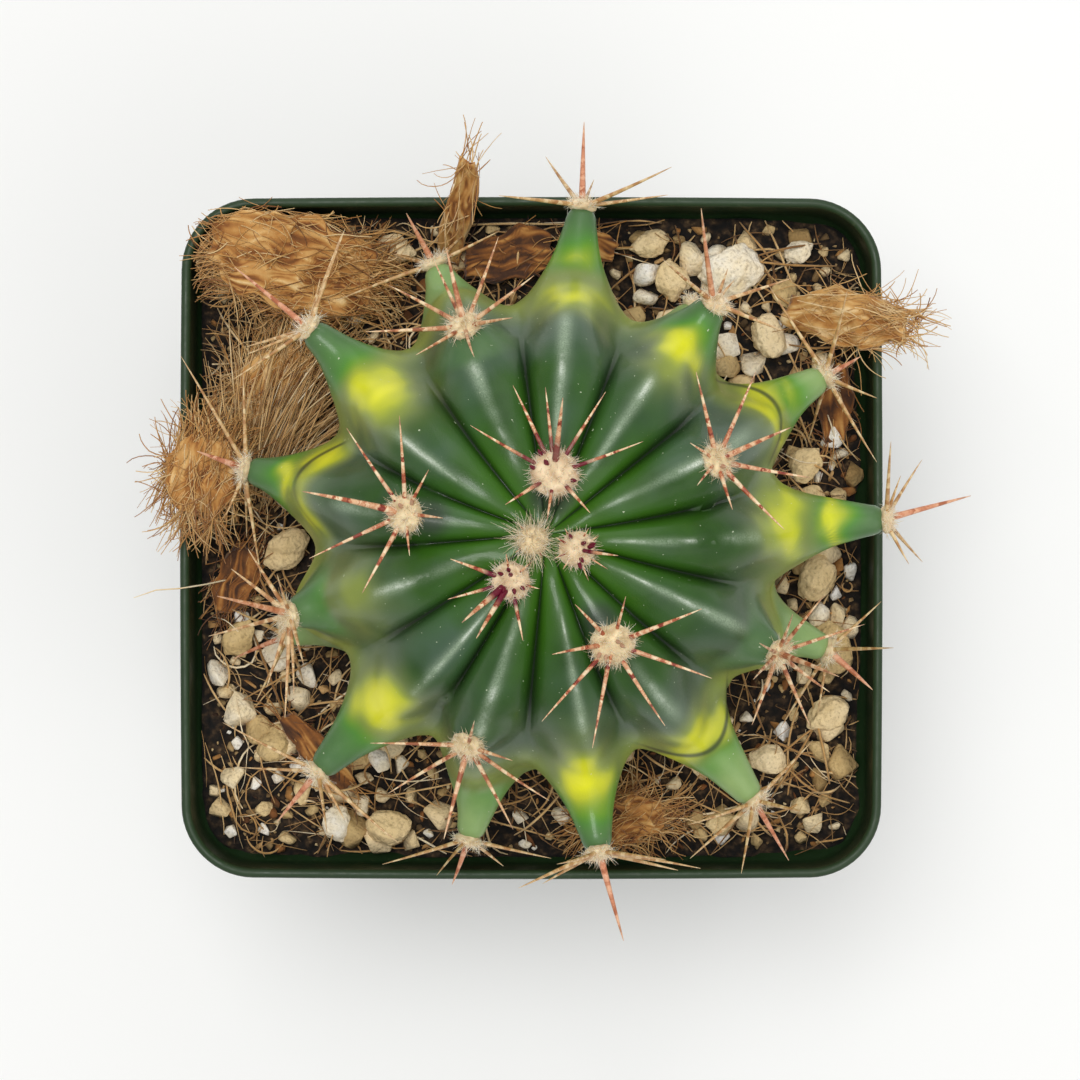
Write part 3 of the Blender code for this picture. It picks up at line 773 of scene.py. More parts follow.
def evaluated_mesh(name, source, tree, **inputs):
    """The plain mesh that a node tree makes from a mesh, with its named inputs set."""
    holder = in_scene("holder", source)
    modifier = holder.modifiers.new("nodes", "NODES")
    modifier.node_group = tree
    for item in tree.interface.items_tree:
        if item.item_type == "SOCKET" and item.in_out == "INPUT" and item.name in inputs:
            modifier[item.identifier] = inputs[item.name]
    holder.update_tag()
    mesh = applied(holder)
    mesh.name = name
    bpy.data.meshes.remove(source)
    if not mesh.polygons:
        raise RuntimeError(f"{name} came out empty")
    return mesh


def tubes(name, strands, finish, sides=6):
    """The strands as one mesh of tubes."""
    lines = bpy.data.meshes.new("lines")
    lines.from_pydata([tuple(c * MM for c in p) for p in strands.points], strands.edges, [])
    for key, values in strands.values.items():
        store(lines, key, np.array(values) * (MM if key == "thickness" else 1))
    tree = bpy.data.node_groups.get("tubes_along_lines") or tube_tree()
    return evaluated_mesh(name, lines, tree, Sides=sides, Finish=finish)


def joined(name, meshes):
    """Several meshes with the same material as one."""
    bm = bmesh.new()
    for mesh in meshes:
        bm.from_mesh(mesh)
    whole = mesh_of(bm, name)
    whole.materials.append(meshes[0].materials[0])
    return whole



# Areoles: each cluster of spines stands in a pad of wool.

# Each spine's heading in degrees and length in mm as seen from above, with a 1 after those that are stout and
# stand furthest out.
SPINES = {
    0: ((40, 2.0), (130, 2.2), (215, 2.0), (300, 1.8)),
    1: (
        (-11, 4.3, 1), (-33, 3.7), (-70, 3.3), (150, 2.3), (120, 2.3), (60, 2.3), (30, 2.5), (200, 2.3),
        (235, 2.3),
    ),
    2: (
        (159, 6.7), (197, 6.9), (218, 6.9, 1), (238, 7.0, 1), (282, 6.3), (100, 2.8), (45, 2.8), (345, 2.9),
    ),
    3: (
        (114, 10.4), (84, 8.1, 1), (95, 9.3), (58, 10.4), (18, 10.1), (152, 10.3), (213, 6.1), (313, 5.7),
        (262, 5.2),
    ),
    4: (
        (133, 5.9), (74, 5.3), (21, 10.2), (-18, 11.4), (-59, 10.6), (259, 11.5), (226, 11.3), (186, 6.6),
        (-95, 2.2, 1),
    ),
    5: (
        (126, 11.3), (92, 10.5), (61, 5.2), (-6, 4.3), (166, 11.2, 1), (204, 11.6), (242, 9.7), (276, 4.4),
    ),
    6: (
        (104, 9.9), (66, 10.7), (26, 8.8, 1), (-11, 10.4), (-48, 10.4), (-76, 5.5), (227, 3.7), (149, 3.5),
    ),
    7: ((176, 10.7), (75, 3.2), (210, 10.5), (255, 10.7, 1), (-61, 10.6), (-35, 10.7), (-16, 4.9)),
    8: (
        (115, 9.0), (105, 8.9, 1), (69, 10.9), (34, 9.3), (9, 5.3), (-78, 4.0), (215, 6.2), (185, 11.0),
        (149, 10.0),
    ),
    9: (
        (154, 3.5), (74, 4.7), (54, 8.3), (18, 10.8), (-18, 6.0, 1), (-38, 7.8), (-65, 9.4), (248, 8.3),
        (214, 4.7),
    ),
    10: (
        (142, 8.5), (121, 8.6), (100, 4.8), (163, 7.7, 1), (195, 10.2), (252, 8.7), (-82, 9.0), (269, 11.6),
        (-65, 5.6),
    ),
    11: ((102, 10.2, 1), (66, 4.5), (19, 9.8), (-25, 8.2), (149, 7.5), (50, 3.5)),
    12: ((-75, 11.1, 1), (200, 9.9), (209, 7.1), (-5, 11.4), (2, 7.1), (-13, 9.2), (188, 4.5)),
    13: ((140, 11.8, 1), (78, 5.8), (70, 12.1), (73, 11.7), (194, 7.6), (203, 7.6), (221, 10.0)),
    14: ((15, 10.9, 1), (56, 8.4), (75, 5.0), (95, 8.6), (-45, 6.9), (-67, 5.5)),
    15: ((155, 12.6), (183, 9.6), (230, 8.3, 1), (-76, 6.4), (-59, 6.2), (-41, 12.5)),
    16: ((89, 10.8, 1), (123, 8.4), (71, 4.4), (19, 10.8), (7, 10.0), (178, 9.9)),
    17: ((41, 10.1), (-9, 6.0), (-59, 9.0, 1), (255, 7.6), (224, 10.2), (195, 8.8)),
    18: ((161, 6.8, 1), (119, 15.5), (94, 11.6), (247, 5.7), (-82, 13.0), (266, 8.1)),
    19: ((76, 9.5), (125, 12.6), (27, 5.4, 1), (-29, 6.1), (-60, 12.1), (260, 8.2)),
    20: ((253, 6.5, 1), (-17, 10.2), (195, 10.2), (221, 4.9), (-45, 5.5)),
    21: ((198, 12.6), (120, 6.8, 1), (57, 5.9), (29, 8.7), (160, 6.0)),
    22: ((-95, 7.9), (42, 8.4), (-120, 11.0), (-40, 7.0, 1), (5, 6.5)),
    23: ((200, 8.0, 1), (150, 7.0), (250, 8.0), (110, 6.0), (285, 6.5)),
    24: ((250, 8.0, 1), (200, 6.0), (300, 7.0), (225, 5.0), (275, 6.0)),
    25: ((60, 8.0, 1), (20, 6.0), (100, 7.0), (40, 5.0), (80, 6.0)),
}
# How far spines stand up from the skin in degrees, and the longest that either kind is in mm.
RADIAL_LIFT, STOUT_LIFT = 22, 58
RADIAL_MOST, STOUT_MOST = 12.5, 14.8
# Points along a spine, and what each point knows for its colour.
SPINE_STEPS = 12
SPINE_VALUES = ("along", "reach", "tone", "young", "aged", "stout")
# How many broken stubs stand in the wool of the young areoles, and their thickness in mm.
STUBS = {1: 9, 2: 7, 3: 6, 4: 4, 5: 3, 6: 3}
STUB_TAPER = (0.26, 0.24, 0.18, 0.05)


class Seat:
    """Where an areole sits on the skin, the way it faces, and two ways across it, in mm."""

    def __init__(self, age, skin):
        radius, height, lift, shift, self.pad = AREOLES[age]
        turn = math.radians(FIRST_ANGLE + DIVERGENCE * age + shift)
        lift = math.radians(lift)
        level = math.cos(lift)
        self.facing = Vector((math.cos(turn) * level, math.sin(turn) * level, math.sin(lift)))
        middle = Vector((math.cos(turn) * radius, math.sin(turn) * radius, height))
        hit = skin.ray_cast(middle + self.facing * 5, -self.facing, 12)[0]
        self.middle = hit if hit is not None and (hit - middle).length < 4 else middle
        side = Vector((0, 0, 1)).cross(self.facing)
        self.across = side.normalized() if side.length > 0.2 else Vector((1, 0, 0))
        self.up = self.facing.cross(self.across)
        self.middle = self.middle + Vector((*STEM_AXIS, 0))


def spine_way(seat, heading, length, lift, most, skin, favour):
    """The way a spine points, so that it shows this heading from above and stands this far off the skin."""
    level = Vector((math.cos(heading), math.sin(heading), 0))
    steepest = math.sqrt(max((most / length) ** 2 - 1, 0.01))
    best = None
    for step in range(-20, 21):
        rise = steepest * step / 20
        way = (level + Vector((0, 0, rise))).normalized()
        miss = abs(way.dot(seat.facing) - math.sin(lift)) - 0.02 * favour * step / 20
        real = length * math.sqrt(1 + rise * rise)
        root = seat.middle - Vector((*STEM_AXIS, 0)) + seat.facing * 0.9
        if skin.ray_cast(root, way, real)[0] is not None:
            miss += 3
        if best is None or miss < best[0]:
            best = (miss, way, real)
    return best[1], best[2]


def skin_tree():
    """The fine stem's faces in mm about its own axis."""
    mesh = bpy.data.objects["cactus_stem_fine"].data
    points = [v.co / MM - Vector((*STEM_AXIS, 0)) for v in mesh.vertices]
    return BVHTree.FromPolygons(points, [tuple(face.vertices) for face in mesh.polygons])


# The colours of a spine's rings, from the dark ones to the pale, on young, old and stout old spines.
RING_STOPS = {
    "ringed": ((0.34, "#7E2C18"), (0.43, "#B0603A"), (0.52, "#D8A67C"), (0.64, "#EBD4AE")),
    "dull": ((0.36, "#A87848"), (0.5, "#C29A66"), (0.64, "#DCC194")),
    "rosy": ((0.36, "#A8603C"), (0.5, "#CB8662"), (0.64, "#DDA987")),
}


def spine_material():
    """Cactus spine: hard dry fibre with a thin waxy surface, ringed across its length in rust and cream."""
    made, tree, shader = new_material("spine_horn_ringed", Roughness=0.45, IOR=1.5)
    found = {
        name: add_node(tree, "ShaderNodeAttribute", attribute_name=name).outputs["Fac"] for name in SPINE_VALUES
    }
    # Rings about 1 mm apart, of uneven width and broken round the spine.
    where = add_node(tree, "ShaderNodeTexCoord").outputs["Object"]
    broken = add_node(tree, "ShaderNodeTexNoise", {"Vector": where, "Scale": 2200.0, "Detail": 2.0})
    found["broken"] = broken.outputs[0]
    for name, operation, *inputs in (
        ("shifted", "MULTIPLY", "tone", 91.0),
        ("uneven", "MULTIPLY_ADD", "broken", 1.7, "reach"),
        ("place", "ADD", "uneven", "shifted"),
        ("strong", "MULTIPLY", "stout", "aged"),
    ):
        links = {number: found.get(given, given) for number, given in enumerate(inputs)}
        found[name] = add_node(tree, "ShaderNodeMath", links, operation=operation).outputs[0]
    rings = add_node(
        tree,
        "ShaderNodeTexNoise",
        {"W": found["place"], "Scale": 0.75, "Detail": 2.5, "Roughness": 0.65},
        noise_dimensions="1D",
    ).outputs[0]
    for name, stops in RING_STOPS.items():
        found[name] = add_node(tree, "ShaderNodeValToRGB", {0: rings}, stops=stops).outputs[0]
    # The foot of a young spine is dark red, and the point of any spine is pale.
    foot_stops = ((0.0, "#FFFFFF"), (0.33, "#FFFFFF"), (0.5, "#000000"))
    point_stops = ((0.7, "#000000"), (1.0, "#A0A0A0"))
    foot = add_node(tree, "ShaderNodeValToRGB", {0: found["along"]}, stops=foot_stops).outputs[0]
    found["red"] = add_node(tree, "ShaderNodeMath", {0: found["young"], 1: foot}, operation="MULTIPLY").outputs[0]
    found["point"] = add_node(tree, "ShaderNodeValToRGB", {0: found["along"]}, stops=point_stops).outputs[0]
    colour = found["ringed"]
    for share, over in (("aged", "dull"), ("strong", "rosy"), ("red", "#640424"), ("point", "#E9D3AC")):
        links = {0: found[share], 6: colour, 7: found.get(over, over)}
        colour = add_node(tree, "ShaderNodeMix", links, data_type="RGBA").outputs[2]
    finish_shader(tree, shader, (0.3, 0.0001), rings, Base_Color=colour)
    return made


def wool_material():
    """Areole wool: matted fine hairs that scatter light, cream on old pads and pinker at the growing point."""
    made, tree, shader = new_material(
        "areole_wool_felted", Roughness=0.95, Sheen_Weight=0.15, Subsurface_Weight=0.1, Subsurface_Scale=0.0008
    )
    young, tone = (
        add_node(tree, "ShaderNodeAttribute", attribute_name=name).outputs["Fac"] for name in ("young", "tone")
    )
    cream, pink = (
        add_node(tree, "ShaderNodeValToRGB", {0: tone}, stops=stops).outputs[0]
        for stops in (
            ((0.0, "#B49A70"), (0.4, "#E8D2A8"), (1.0, "#FBF1DA")),
            ((0.0, "#B48E70"), (0.4, "#E8CDB0"), (1.0, "#FBF0E0")),
        )
    )
    colour = add_node(tree, "ShaderNodeMix", {0: young, 6: cream, 7: pink}, data_type="RGBA")
    tree.links.new(colour.outputs[2], shader.inputs["Base Color"])
    return made


class CactusAreoleSettings(bpy.types.PropertyGroup):
    spine_radius: FloatProperty(name="Spine radius", description="At its foot", default=0.00033, unit="LENGTH")
    stout_radius: FloatProperty(
        name="Stout spine radius", description="At the foot of a stout spine", default=0.00047, unit="LENGTH"
    )
    hair_radius: FloatProperty(name="Hair radius", description="Of the wool", default=0.000045, unit="LENGTH")
    hairs: IntProperty(name="Hairs", description="Hairs in the wool of the largest pad", default=520)
    seed: IntProperty(name="Seed", description="Changes how spines and hairs bend", default=3)


class CACTUS_OT_add_spines(bpy.types.Operator):
    """Adds the spines of every areole"""

    bl_idname = "cactus.add_spines"
    bl_label = "Add spines"

    def execute(self, context):
        settings = context.scene.cactus_areoles
        skin = skin_tree()
        chance = random.Random(settings.seed)
        strands = Strands(*SPINE_VALUES)
        shares = np.linspace(0, 1, SPINE_STEPS + 1)
        for age, spines in SPINES.items():
            seat = Seat(age, skin)
            young = {0: 1.0, 1: 1.0, 2: 1.0, 3: 0.85}.get(age, 0.12 if age < 10 else 0.0)
            aged = 0.0 if age < 7 else 0.35 if age < 10 else 0.8 if age < 12 else 1.0
            for number, (turn, length, *stout) in enumerate(spines):
                heading = math.radians(turn)
                lift = math.radians(STOUT_LIFT if stout else RADIAL_LIFT)
                most = STOUT_MOST if stout else max(RADIAL_MOST, length * 1.02)
                favour = 1 if number % 2 else -1
                way, real = spine_way(seat, heading, length, lift, most, skin, favour)
                foot = (settings.stout_radius if stout else settings.spine_radius) / MM
                foot *= chance.uniform(0.85, 1.1) * (0.75 if age < 2 else 1) * min(1, 0.55 + length / 14)
                start = seat.middle + seat.facing * 0.1 + (way - seat.facing * way.dot(seat.facing)) * 0.5
                bend = Vector([chance.uniform(-1, 1) for _ in range(3)]).cross(way) * real * 0.035
                line, radii = [], []
                for step in range(SPINE_STEPS + 1):
                    share = step / SPINE_STEPS
                    line.append(start + way * real * share + bend * share * share)
                    radii.append(foot * ((1 - share) ** 0.75 * 0.93 + 0.07))
                strands.add(
                    line,
                    thickness=radii,
                    along=shares,
                    reach=shares * real,
                    tone=chance.random(),
                    young=young,
                    aged=aged,
                    stout=1.0 if stout else 0.0,
                )
            # Stubs of spines still in the wool, or lost from it.
            for _ in range(STUBS.get(age, 0)):
                around, out = chance.uniform(0, 2 * math.pi), chance.uniform(0.25, 0.8)
                level = seat.across * math.cos(around) + seat.up * math.sin(around)
                start = seat.middle + seat.pad * (level * out + seat.facing * 0.55 * math.sqrt(1 - out * out))
                way = (seat.facing + level * out).normalized()
                strands.add(
                    [start + way * step * 0.3 for step in range(4)],
                    thickness=STUB_TAPER,
                    along=0.0,
                    reach=0.0,
                    tone=0.0,
                    young=1.0 if age < 4 else 0.45,
                    aged=0.0,
                    stout=0.0,
                )
        mesh = tubes("spines", strands, spine_material(), sides=8)
        nodes = [name for name in frame["nodes"] if name.startswith("spine_cluster")]
        add_piece("spines", mesh, "spine_and_wool", *nodes)
        return {"FINISHED"}


class CACTUS_OT_add_wool(bpy.types.Operator):
    """Adds the pad of wool under each cluster of spines"""

    bl_idname = "cactus.add_wool"
    bl_label = "Add wool"

    def execute(self, context):
        settings = context.scene.cactus_areoles
        skin = skin_tree()
        chance = random.Random(settings.seed + 1)
        strands = Strands("tone", "young")
        pads = bmesh.new()
        young_layer = pads.verts.layers.float.new("young")
        tone_layer = pads.verts.layers.float.new("tone")
        for age in range(len(AREOLES)):
            seat = Seat(age, skin)
            young = {1: 0.3, 2: 0.4, 3: 0.4}.get(age, 0.0 if age < 11 else 0.2)
            flat = 0.62 if age < 5 else 0.5
            radius = seat.pad * (0.92 if age else 0.8)
            turn = Matrix((seat.across, seat.up, seat.facing)).transposed()
            made = bmesh.ops.create_icosphere(pads, subdivisions=3, radius=1)["verts"]
            for vertex in made:
                p = vertex.co.copy()
                rough = 1 + 0.16 * noise.noise(p * 2.2 + Vector((age * 7, 0, 0)))
                rough += 0.1 * noise.noise(p * 6 + Vector((0, age * 5, 0)))
                local = Vector((p.x * radius, p.y * radius, p.z * radius * flat)) * rough
                vertex.co = (seat.middle + seat.facing * 0.05 + turn @ local) * MM
                vertex[young_layer] = young
                vertex[tone_layer] = 0.25 + 0.5 * noise.noise(p * 7 + Vector((age, 0, 0)))
            count = int(settings.hairs * (seat.pad / 3) ** 1.6)
            for _ in range(count):
                angle = chance.uniform(0, 2 * math.pi)
                tilt = math.acos(chance.uniform(-0.05, 1))
                out = Vector((math.sin(tilt) * math.cos(angle), math.sin(tilt) * math.sin(angle), math.cos(tilt)))
                start = Vector((out.x * radius, out.y * radius, out.z * radius * flat)) * 0.9
                way = (out + Vector([chance.uniform(-0.8, 0.8) for _ in range(3)])).normalized()
                swirl = Vector([chance.uniform(-1, 1) for _ in range(3)])
                long = chance.uniform(0.45, 1.25) * (2.2 if age == 0 else 1)
                line = []
                for step in range(4):
                    share = step / 3
                    line.append(
                        seat.middle + turn @ (start + way * long * share + swirl * long * 0.45 * share * share)
                    )
                radius_here = settings.hair_radius / MM * chance.uniform(0.7, 1.3)
                strands.add(
                    line,
                    thickness=[radius_here * (1 - 0.8 * step / 3) for step in range(4)],
                    tone=min(1, max(0, chance.gauss(0.8 if age > 10 else 0.55, 0.28))),
                    young=young,
                )
        finish = wool_material()
        domes = mesh_of(pads, "pads", finish)
        hairs = tubes("hairs", strands, finish, sides=3)
        add_piece("areole_wool", joined("areole_wool", [domes, hairs]), "spine_and_wool")
        return {"FINISHED"}


# Pot

CORNER_STEPS, SIDE_STEPS = 14, 14
# Radii of the pot's corners at the rim and at the foot, and its drain holes, in mm.
RIM_CORNER, FOOT_CORNER = 9, 7
DRAIN_RADIUS, DRAIN_SIDES, DRILL_DEPTH = 4, 40, 8
DRAIN_PLACES = ((23, 22), (23, 0), (23, -22), (0, 22), (0, -22), (-23, 22), (-23, 0), (-23, -22))


def pot_section(half_x, half_y, corner, height, bow):
    """The points of a level rectangle with round corners and slightly bowed sides, anticlockwise, in mm."""
    flat = []
    for turn, (side_x, side_y) in enumerate(((1, 1), (-1, 1), (-1, -1), (1, -1))):
        middle = Vector((side_x * (half_x - corner), side_y * (half_y - corner)))
        for step in range(CORNER_STEPS + 1):
            angle = math.radians(90 * (turn + step / CORNER_STEPS))
            flat.append(middle + corner * Vector((math.cos(angle), math.sin(angle))))
    points = []
    for index, point in enumerate(flat):
        points.append(point)
        if index % (CORNER_STEPS + 1) == CORNER_STEPS:
            following = flat[(index + 1) % len(flat)]
            points += [point.lerp(following, step / SIDE_STEPS) for step in range(1, SIDE_STEPS)]
    return [
        Vector(
            (
                x * (1 + bow / half_x * (1 - (y / half_y) ** 2)),
                y * (1 + bow / half_y * (1 - (x / half_x) ** 2)),
                height,
            )
        )
        for x, y in points
    ]


class CactusPotSettings(bpy.types.PropertyGroup):
    rim_x: FloatProperty(
        name="Rim length", description="Across the rim", default=POT_HIGH.x - POT_LOW.x, unit="LENGTH"
    )
    rim_y: FloatProperty(
        name="Rim width", description="Across the rim", default=POT_HIGH.y - POT_LOW.y, unit="LENGTH"
    )
    base_x: FloatProperty(name="Base length", description="Across the foot", default=0.068, unit="LENGTH")
    base_y: FloatProperty(name="Base width", description="Across the foot", default=0.066, unit="LENGTH")
    height: FloatProperty(name="Height", description="Foot to rim", default=POT_HIGH.z, unit="LENGTH")
    wall: FloatProperty(name="Wall", description="Thickness of the plastic", default=0.0012, unit="LENGTH")
    collar: FloatProperty(name="Collar", description="Height of the stepped collar", default=0.010, unit="LENGTH")
    step: FloatProperty(name="Step", description="How far the collar stands out", default=0.0015, unit="LENGTH")
    bow: FloatProperty(name="Bow", description="How far the sides bulge", default=0.0003, unit="LENGTH")
    colour: FloatVectorProperty(
        name="Colour", description="Of the plastic", default=linear("#172B14"), subtype="COLOR", min=0, max=1
    )


def wall_line(settings, height, inset, collar):
    """A section of the pot's wall in mm: of the collar or of the taper below it, moved in from the outside."""
    bow = settings.bow / MM
    if collar:
        half_x, half_y = settings.rim_x / MM / 2 - bow - inset, settings.rim_y / MM / 2 - bow - inset
        return pot_section(half_x, half_y, RIM_CORNER - inset, height, bow)
    share = height / (settings.height - settings.collar) * MM
    halves = [
        ((1 - share) * base / 2 + share * (rim / 2 - settings.bow - settings.step)) / MM - inset
        for base, rim in ((settings.base_x, settings.rim_x), (settings.base_y, settings.rim_y))
    ]
    corner = (1 - share) * FOOT_CORNER + share * (RIM_CORNER - settings.step / MM) - inset
    return pot_section(halves[0], halves[1], corner, height, bow * share)


def pot_lines(settings):
    """The pot's sections from the middle of its underside, up the outside, over the rim and down inside."""
    wall = settings.wall / MM
    top = settings.height / MM
    start = top - settings.collar / MM
    step = settings.step / MM
    lines = []

    def floor(height, shares, inset):
        """Shrinking copies of the wall's section, which close the pot's base."""
        edge = wall_line(settings, max(height, 0.9), inset, False)
        return [[Vector((p.x * share, p.y * share, height)) for p in edge] for share in shares]

    lines += floor(0.5, (0.05, 0.3, 0.6, 0.88), 0.9)
    lines += floor(0, (0.93, 1.0), 0.9)
    lines += [wall_line(settings, 0.3, 0.3, False), wall_line(settings, 0.9, 0, False)]
    lines += [wall_line(settings, start * k / 10, 0, False) for k in range(1, 10)]
    lines += [wall_line(settings, start - 0.1, 0, False)]
    for k in range(5):
        turn = math.radians(90 * k / 4)
        height = start + 0.35 - 0.35 * math.cos(turn) + 0.3
        inset = step - 0.3 - (step - 0.6) * k / 4 - 0.3 * math.sin(turn)
        lines.append(wall_line(settings, height, inset, True))
    lines += [wall_line(settings, start + (top - start) * k, 0, True) for k in (0.2, 0.5, 0.8)]
    half = wall / 2
    for k in range(9):
        turn = math.radians(180 * k / 8)
        lines.append(wall_line(settings, top - half + half * math.sin(turn), half - half * math.cos(turn), True))
    lines += [wall_line(settings, start + (top - start) * k, wall, True) for k in (0.8, 0.5, 0.25)]
    lines.append(wall_line(settings, start + 1.2, wall + 0.3, True))
    lines.append(wall_line(settings, start + 0.6, wall + step - 0.1, True))
    lines += [wall_line(settings, start * k / 10, wall, False) for k in range(9, 0, -1)]
    lines += [wall_line(settings, 2.0, wall, False)]
    lines += floor(wall, (0.99, 0.9, 0.6, 0.3, 0.05), wall + 0.9)
    return lines


def pot_material(settings):
    """Polypropylene, injection moulded in a dark green: satin, with fine rubbed scratches and dried splashes."""
    made, tree, shader = new_material("polypropylene_moulded", IOR=1.49, Specular_IOR_Level=0.35)
    where = add_node(tree, "ShaderNodeTexCoord").outputs["Object"]
    height = add_node(tree, "ShaderNodeSeparateXYZ", {0: where}).outputs["Z"]
    drawn = add_node(tree, "ShaderNodeMapping", {"Vector": where, "Scale": (1, 1, 14)}).outputs[0]
    # Clouds of about 10 mm, scratches of 1.5 mm drawn round the pot and specks of dust of 0.8 mm.
    cloud, scratch, dust = (
        add_node(tree, "ShaderNodeTexNoise", {"Vector": vector, "Scale": scale, "Detail": detail}).outputs[0]
        for vector, scale, detail in ((where, 90.0, 4.0), (drawn, 700.0, 3.0), (where, 1300.0, 5.0))
    )
    # Dust lies thickest near the foot, the top of the rim has a painted highlight in a paler green, and the
    # scratches are rougher.
    low, specks, rim_top_highlight, rough = (
        add_node(
            tree,
            "ShaderNodeMapRange",
            {"Value": value, "From Min": start, "From Max": end, "To Min": first, "To Max": last},
        ).outputs[0]
        for value, start, end, first, last in (
            (height, 0.0, 0.05, 0.3, 0.1),
            (dust, 0.6, 0.8, 0.0, 1.0),
            (height, 0.0852, 0.086, 0.0, 0.75),
            (scratch, 0.3, 0.7, 0.38, 0.6),
        )
    )
    dusty = add_node(tree, "ShaderNodeMath", {0: specks, 1: low}, operation="MULTIPLY").outputs[0]
    paler = (*[c * 1.35 for c in settings.colour], 1)
    colour = (*settings.colour, 1)
    # The paler green on the rim's top is a painted highlight.
    for share, over in ((cloud, paler), (rim_top_highlight, "#2E4028"), (dusty, "#8A8570")):
        links = {0: share, 6: colour, 7: over}
        colour = add_node(tree, "ShaderNodeMix", links, data_type="RGBA").outputs[2]
    finish_shader(tree, shader, (0.12, 0.0001), scratch, Base_Color=colour, Roughness=rough)
    return made


class CACTUS_OT_add_pot(bpy.types.Operator):
    """Adds the square nursery pot with its rolled rim and drain holes"""

    bl_idname = "cactus.add_pot"
    bl_label = "Add pot"

    def execute(self, context):
        settings = context.scene.cactus_pot
        bm = bmesh.new()
        rows = [[bm.verts.new(p * MM) for p in line] for line in pot_lines(settings)]
        for low, high in zip(rows, rows[1:]):
            for index, vertex in enumerate(low):
                after = (index + 1) % len(low)
                bm.faces.new((vertex, low[after], high[after], high[index]))
        bm.faces.new(reversed(rows[0]))
        bm.faces.new(rows[-1])
        bmesh.ops.recalc_face_normals(bm, faces=bm.faces)
        holder = in_scene("pot", mesh_of(bm, "pot_shell"))
        drills = bmesh.new()
        for x, y in DRAIN_PLACES:
            bmesh.ops.create_cone(
                drills,
                cap_ends=True,
                segments=DRAIN_SIDES,
                radius1=DRAIN_RADIUS * MM,
                radius2=DRAIN_RADIUS * MM,
                depth=DRILL_DEPTH * MM,
                matrix=Matrix.Translation((x * MM, y * MM, 0)),
            )
        cutter = in_scene("drills", mesh_of(drills, "drills"))
        cut = holder.modifiers.new("drain", "BOOLEAN")
        cut.object = cutter
        cut.operation = "DIFFERENCE"
        cut.solver = "EXACT"
        mesh = applied(holder, cutter)
        mesh.name = "nursery_pot"
        mesh.shade_smooth()
        mesh.materials.append(pot_material(settings))
        add_piece("nursery_pot", mesh, "pot_plastic", "pot")
        return {"FINISHED"}


# Potting mix

# Level of the mix, how much higher it is at the stem, and how far out that ends, in mm.
MIX_LEVEL, MIX_DOME, MIX_REACH = 78.3, 1.2, 40
# Beyond the wall in every direction, in mm.
FAR_OUT = 70
# Half the length and width inside the pot's wall at the top of the mix, and the radius of its corners, in mm.
INSIDE_HALF, INSIDE_CORNER = (42.8, 41.5), 7.5
# Height of the rim, and how far out the wall's far side is from the inside, in mm.
RIM_LEVEL, WALL_REACH = 86.2, 2.2
# Patches of the mix: (x and y in mm, reach in mm, how much gravel, how much coir).
PATCHES = (
    (-33, 33, 15, 0.05, 1.0),
    (-31, 20, 12, 0.15, 1.0),
    (-37, 3, 9, 0.2, 0.9),
    (-33, -10, 9, 0.5, 0.6),
    (-31, -30, 13, 1.0, 0.5),
    (-12, -38, 12, 0.8, 0.6),
    (12, -37, 11, 0.4, 0.9),
    (30, -30, 13, 0.8, 0.6),
    (38, -12, 11, 1.0, 0.4),
    (37, 8, 10, 1.0, 0.4),
    (35, 24, 9, 0.5, 0.8),
    (22, 36, 12, 1.2, 0.3),
    (0, 38, 12, 0.3, 0.6),
)


def smooth_fall(x, y):
    """How much the mix has settled away from the wall, most at the right and the near side, from 0 to 1."""
    near = max(abs(x) / 42.5, abs(y) / 41.2)
    return max(0.0, min(1.0, (near - 0.9) / 0.1)) * (1.6 if x > 30 or y < -30 else 0.8)


def mix_height(x, y):
    """The uneven top of the mix in mm, in lumps of about 14, 5 and 1.5 mm."""
    rise = MIX_DOME * max(0.0, 1 - math.hypot(x, y) / MIX_REACH)
    at = Vector((x, y, 0))
    lumps = 0.9 * noise.noise(at / 14) + 0.55 * noise.noise(at / 5 + Vector((9, 0, 0)))
    wall = 0.9 * smooth_fall(x, y)
    return MIX_LEVEL + rise + lumps + 0.3 * noise.noise(at / 1.5 + Vector((0, 7, 0))) - wall


def patch_value(x, y, column):
    """How much gravel (column 3) or coir (column 4) lies here, blended between the patches."""
    total = weight = 0.0
    for patch in PATCHES:
        near = math.exp(-((x - patch[0]) ** 2 + (y - patch[1]) ** 2) / patch[2] ** 2) + 1e-6
        total += patch[column] * near
        weight += near
    return total / weight


def inside_wall(x, y, margin):
    """The point moved, if need be, to lie inside the pot's wall by the margin in mm."""
    (half_x, half_y), corner = (half - margin for half in INSIDE_HALF), INSIDE_CORNER
    x, y = max(-half_x, min(half_x, x)), max(-half_y, min(half_y, y))
    over_x, over_y = abs(x) - (half_x - corner), abs(y) - (half_y - corner)
    if over_x > 0 and over_y > 0:
        beyond = math.hypot(over_x, over_y)
        if beyond > corner:
            x = math.copysign(half_x - corner + over_x * corner / beyond, x)
            y = math.copysign(half_y - corner + over_y * corner / beyond, y)
    return x, y


def within_wall(x, y, margin):
    """Whether the point lies inside the pot's wall by the margin in mm."""
    return inside_wall(x, y, margin) == (x, y)


def crosses_wall(point):
    """Whether a point in mm is in the pot's wall rather than inside, outside or above it."""
    if point.z >= RIM_LEVEL or within_wall(point.x, point.y, -0.2):
        return False
    return within_wall(point.x, point.y, -WALL_REACH)


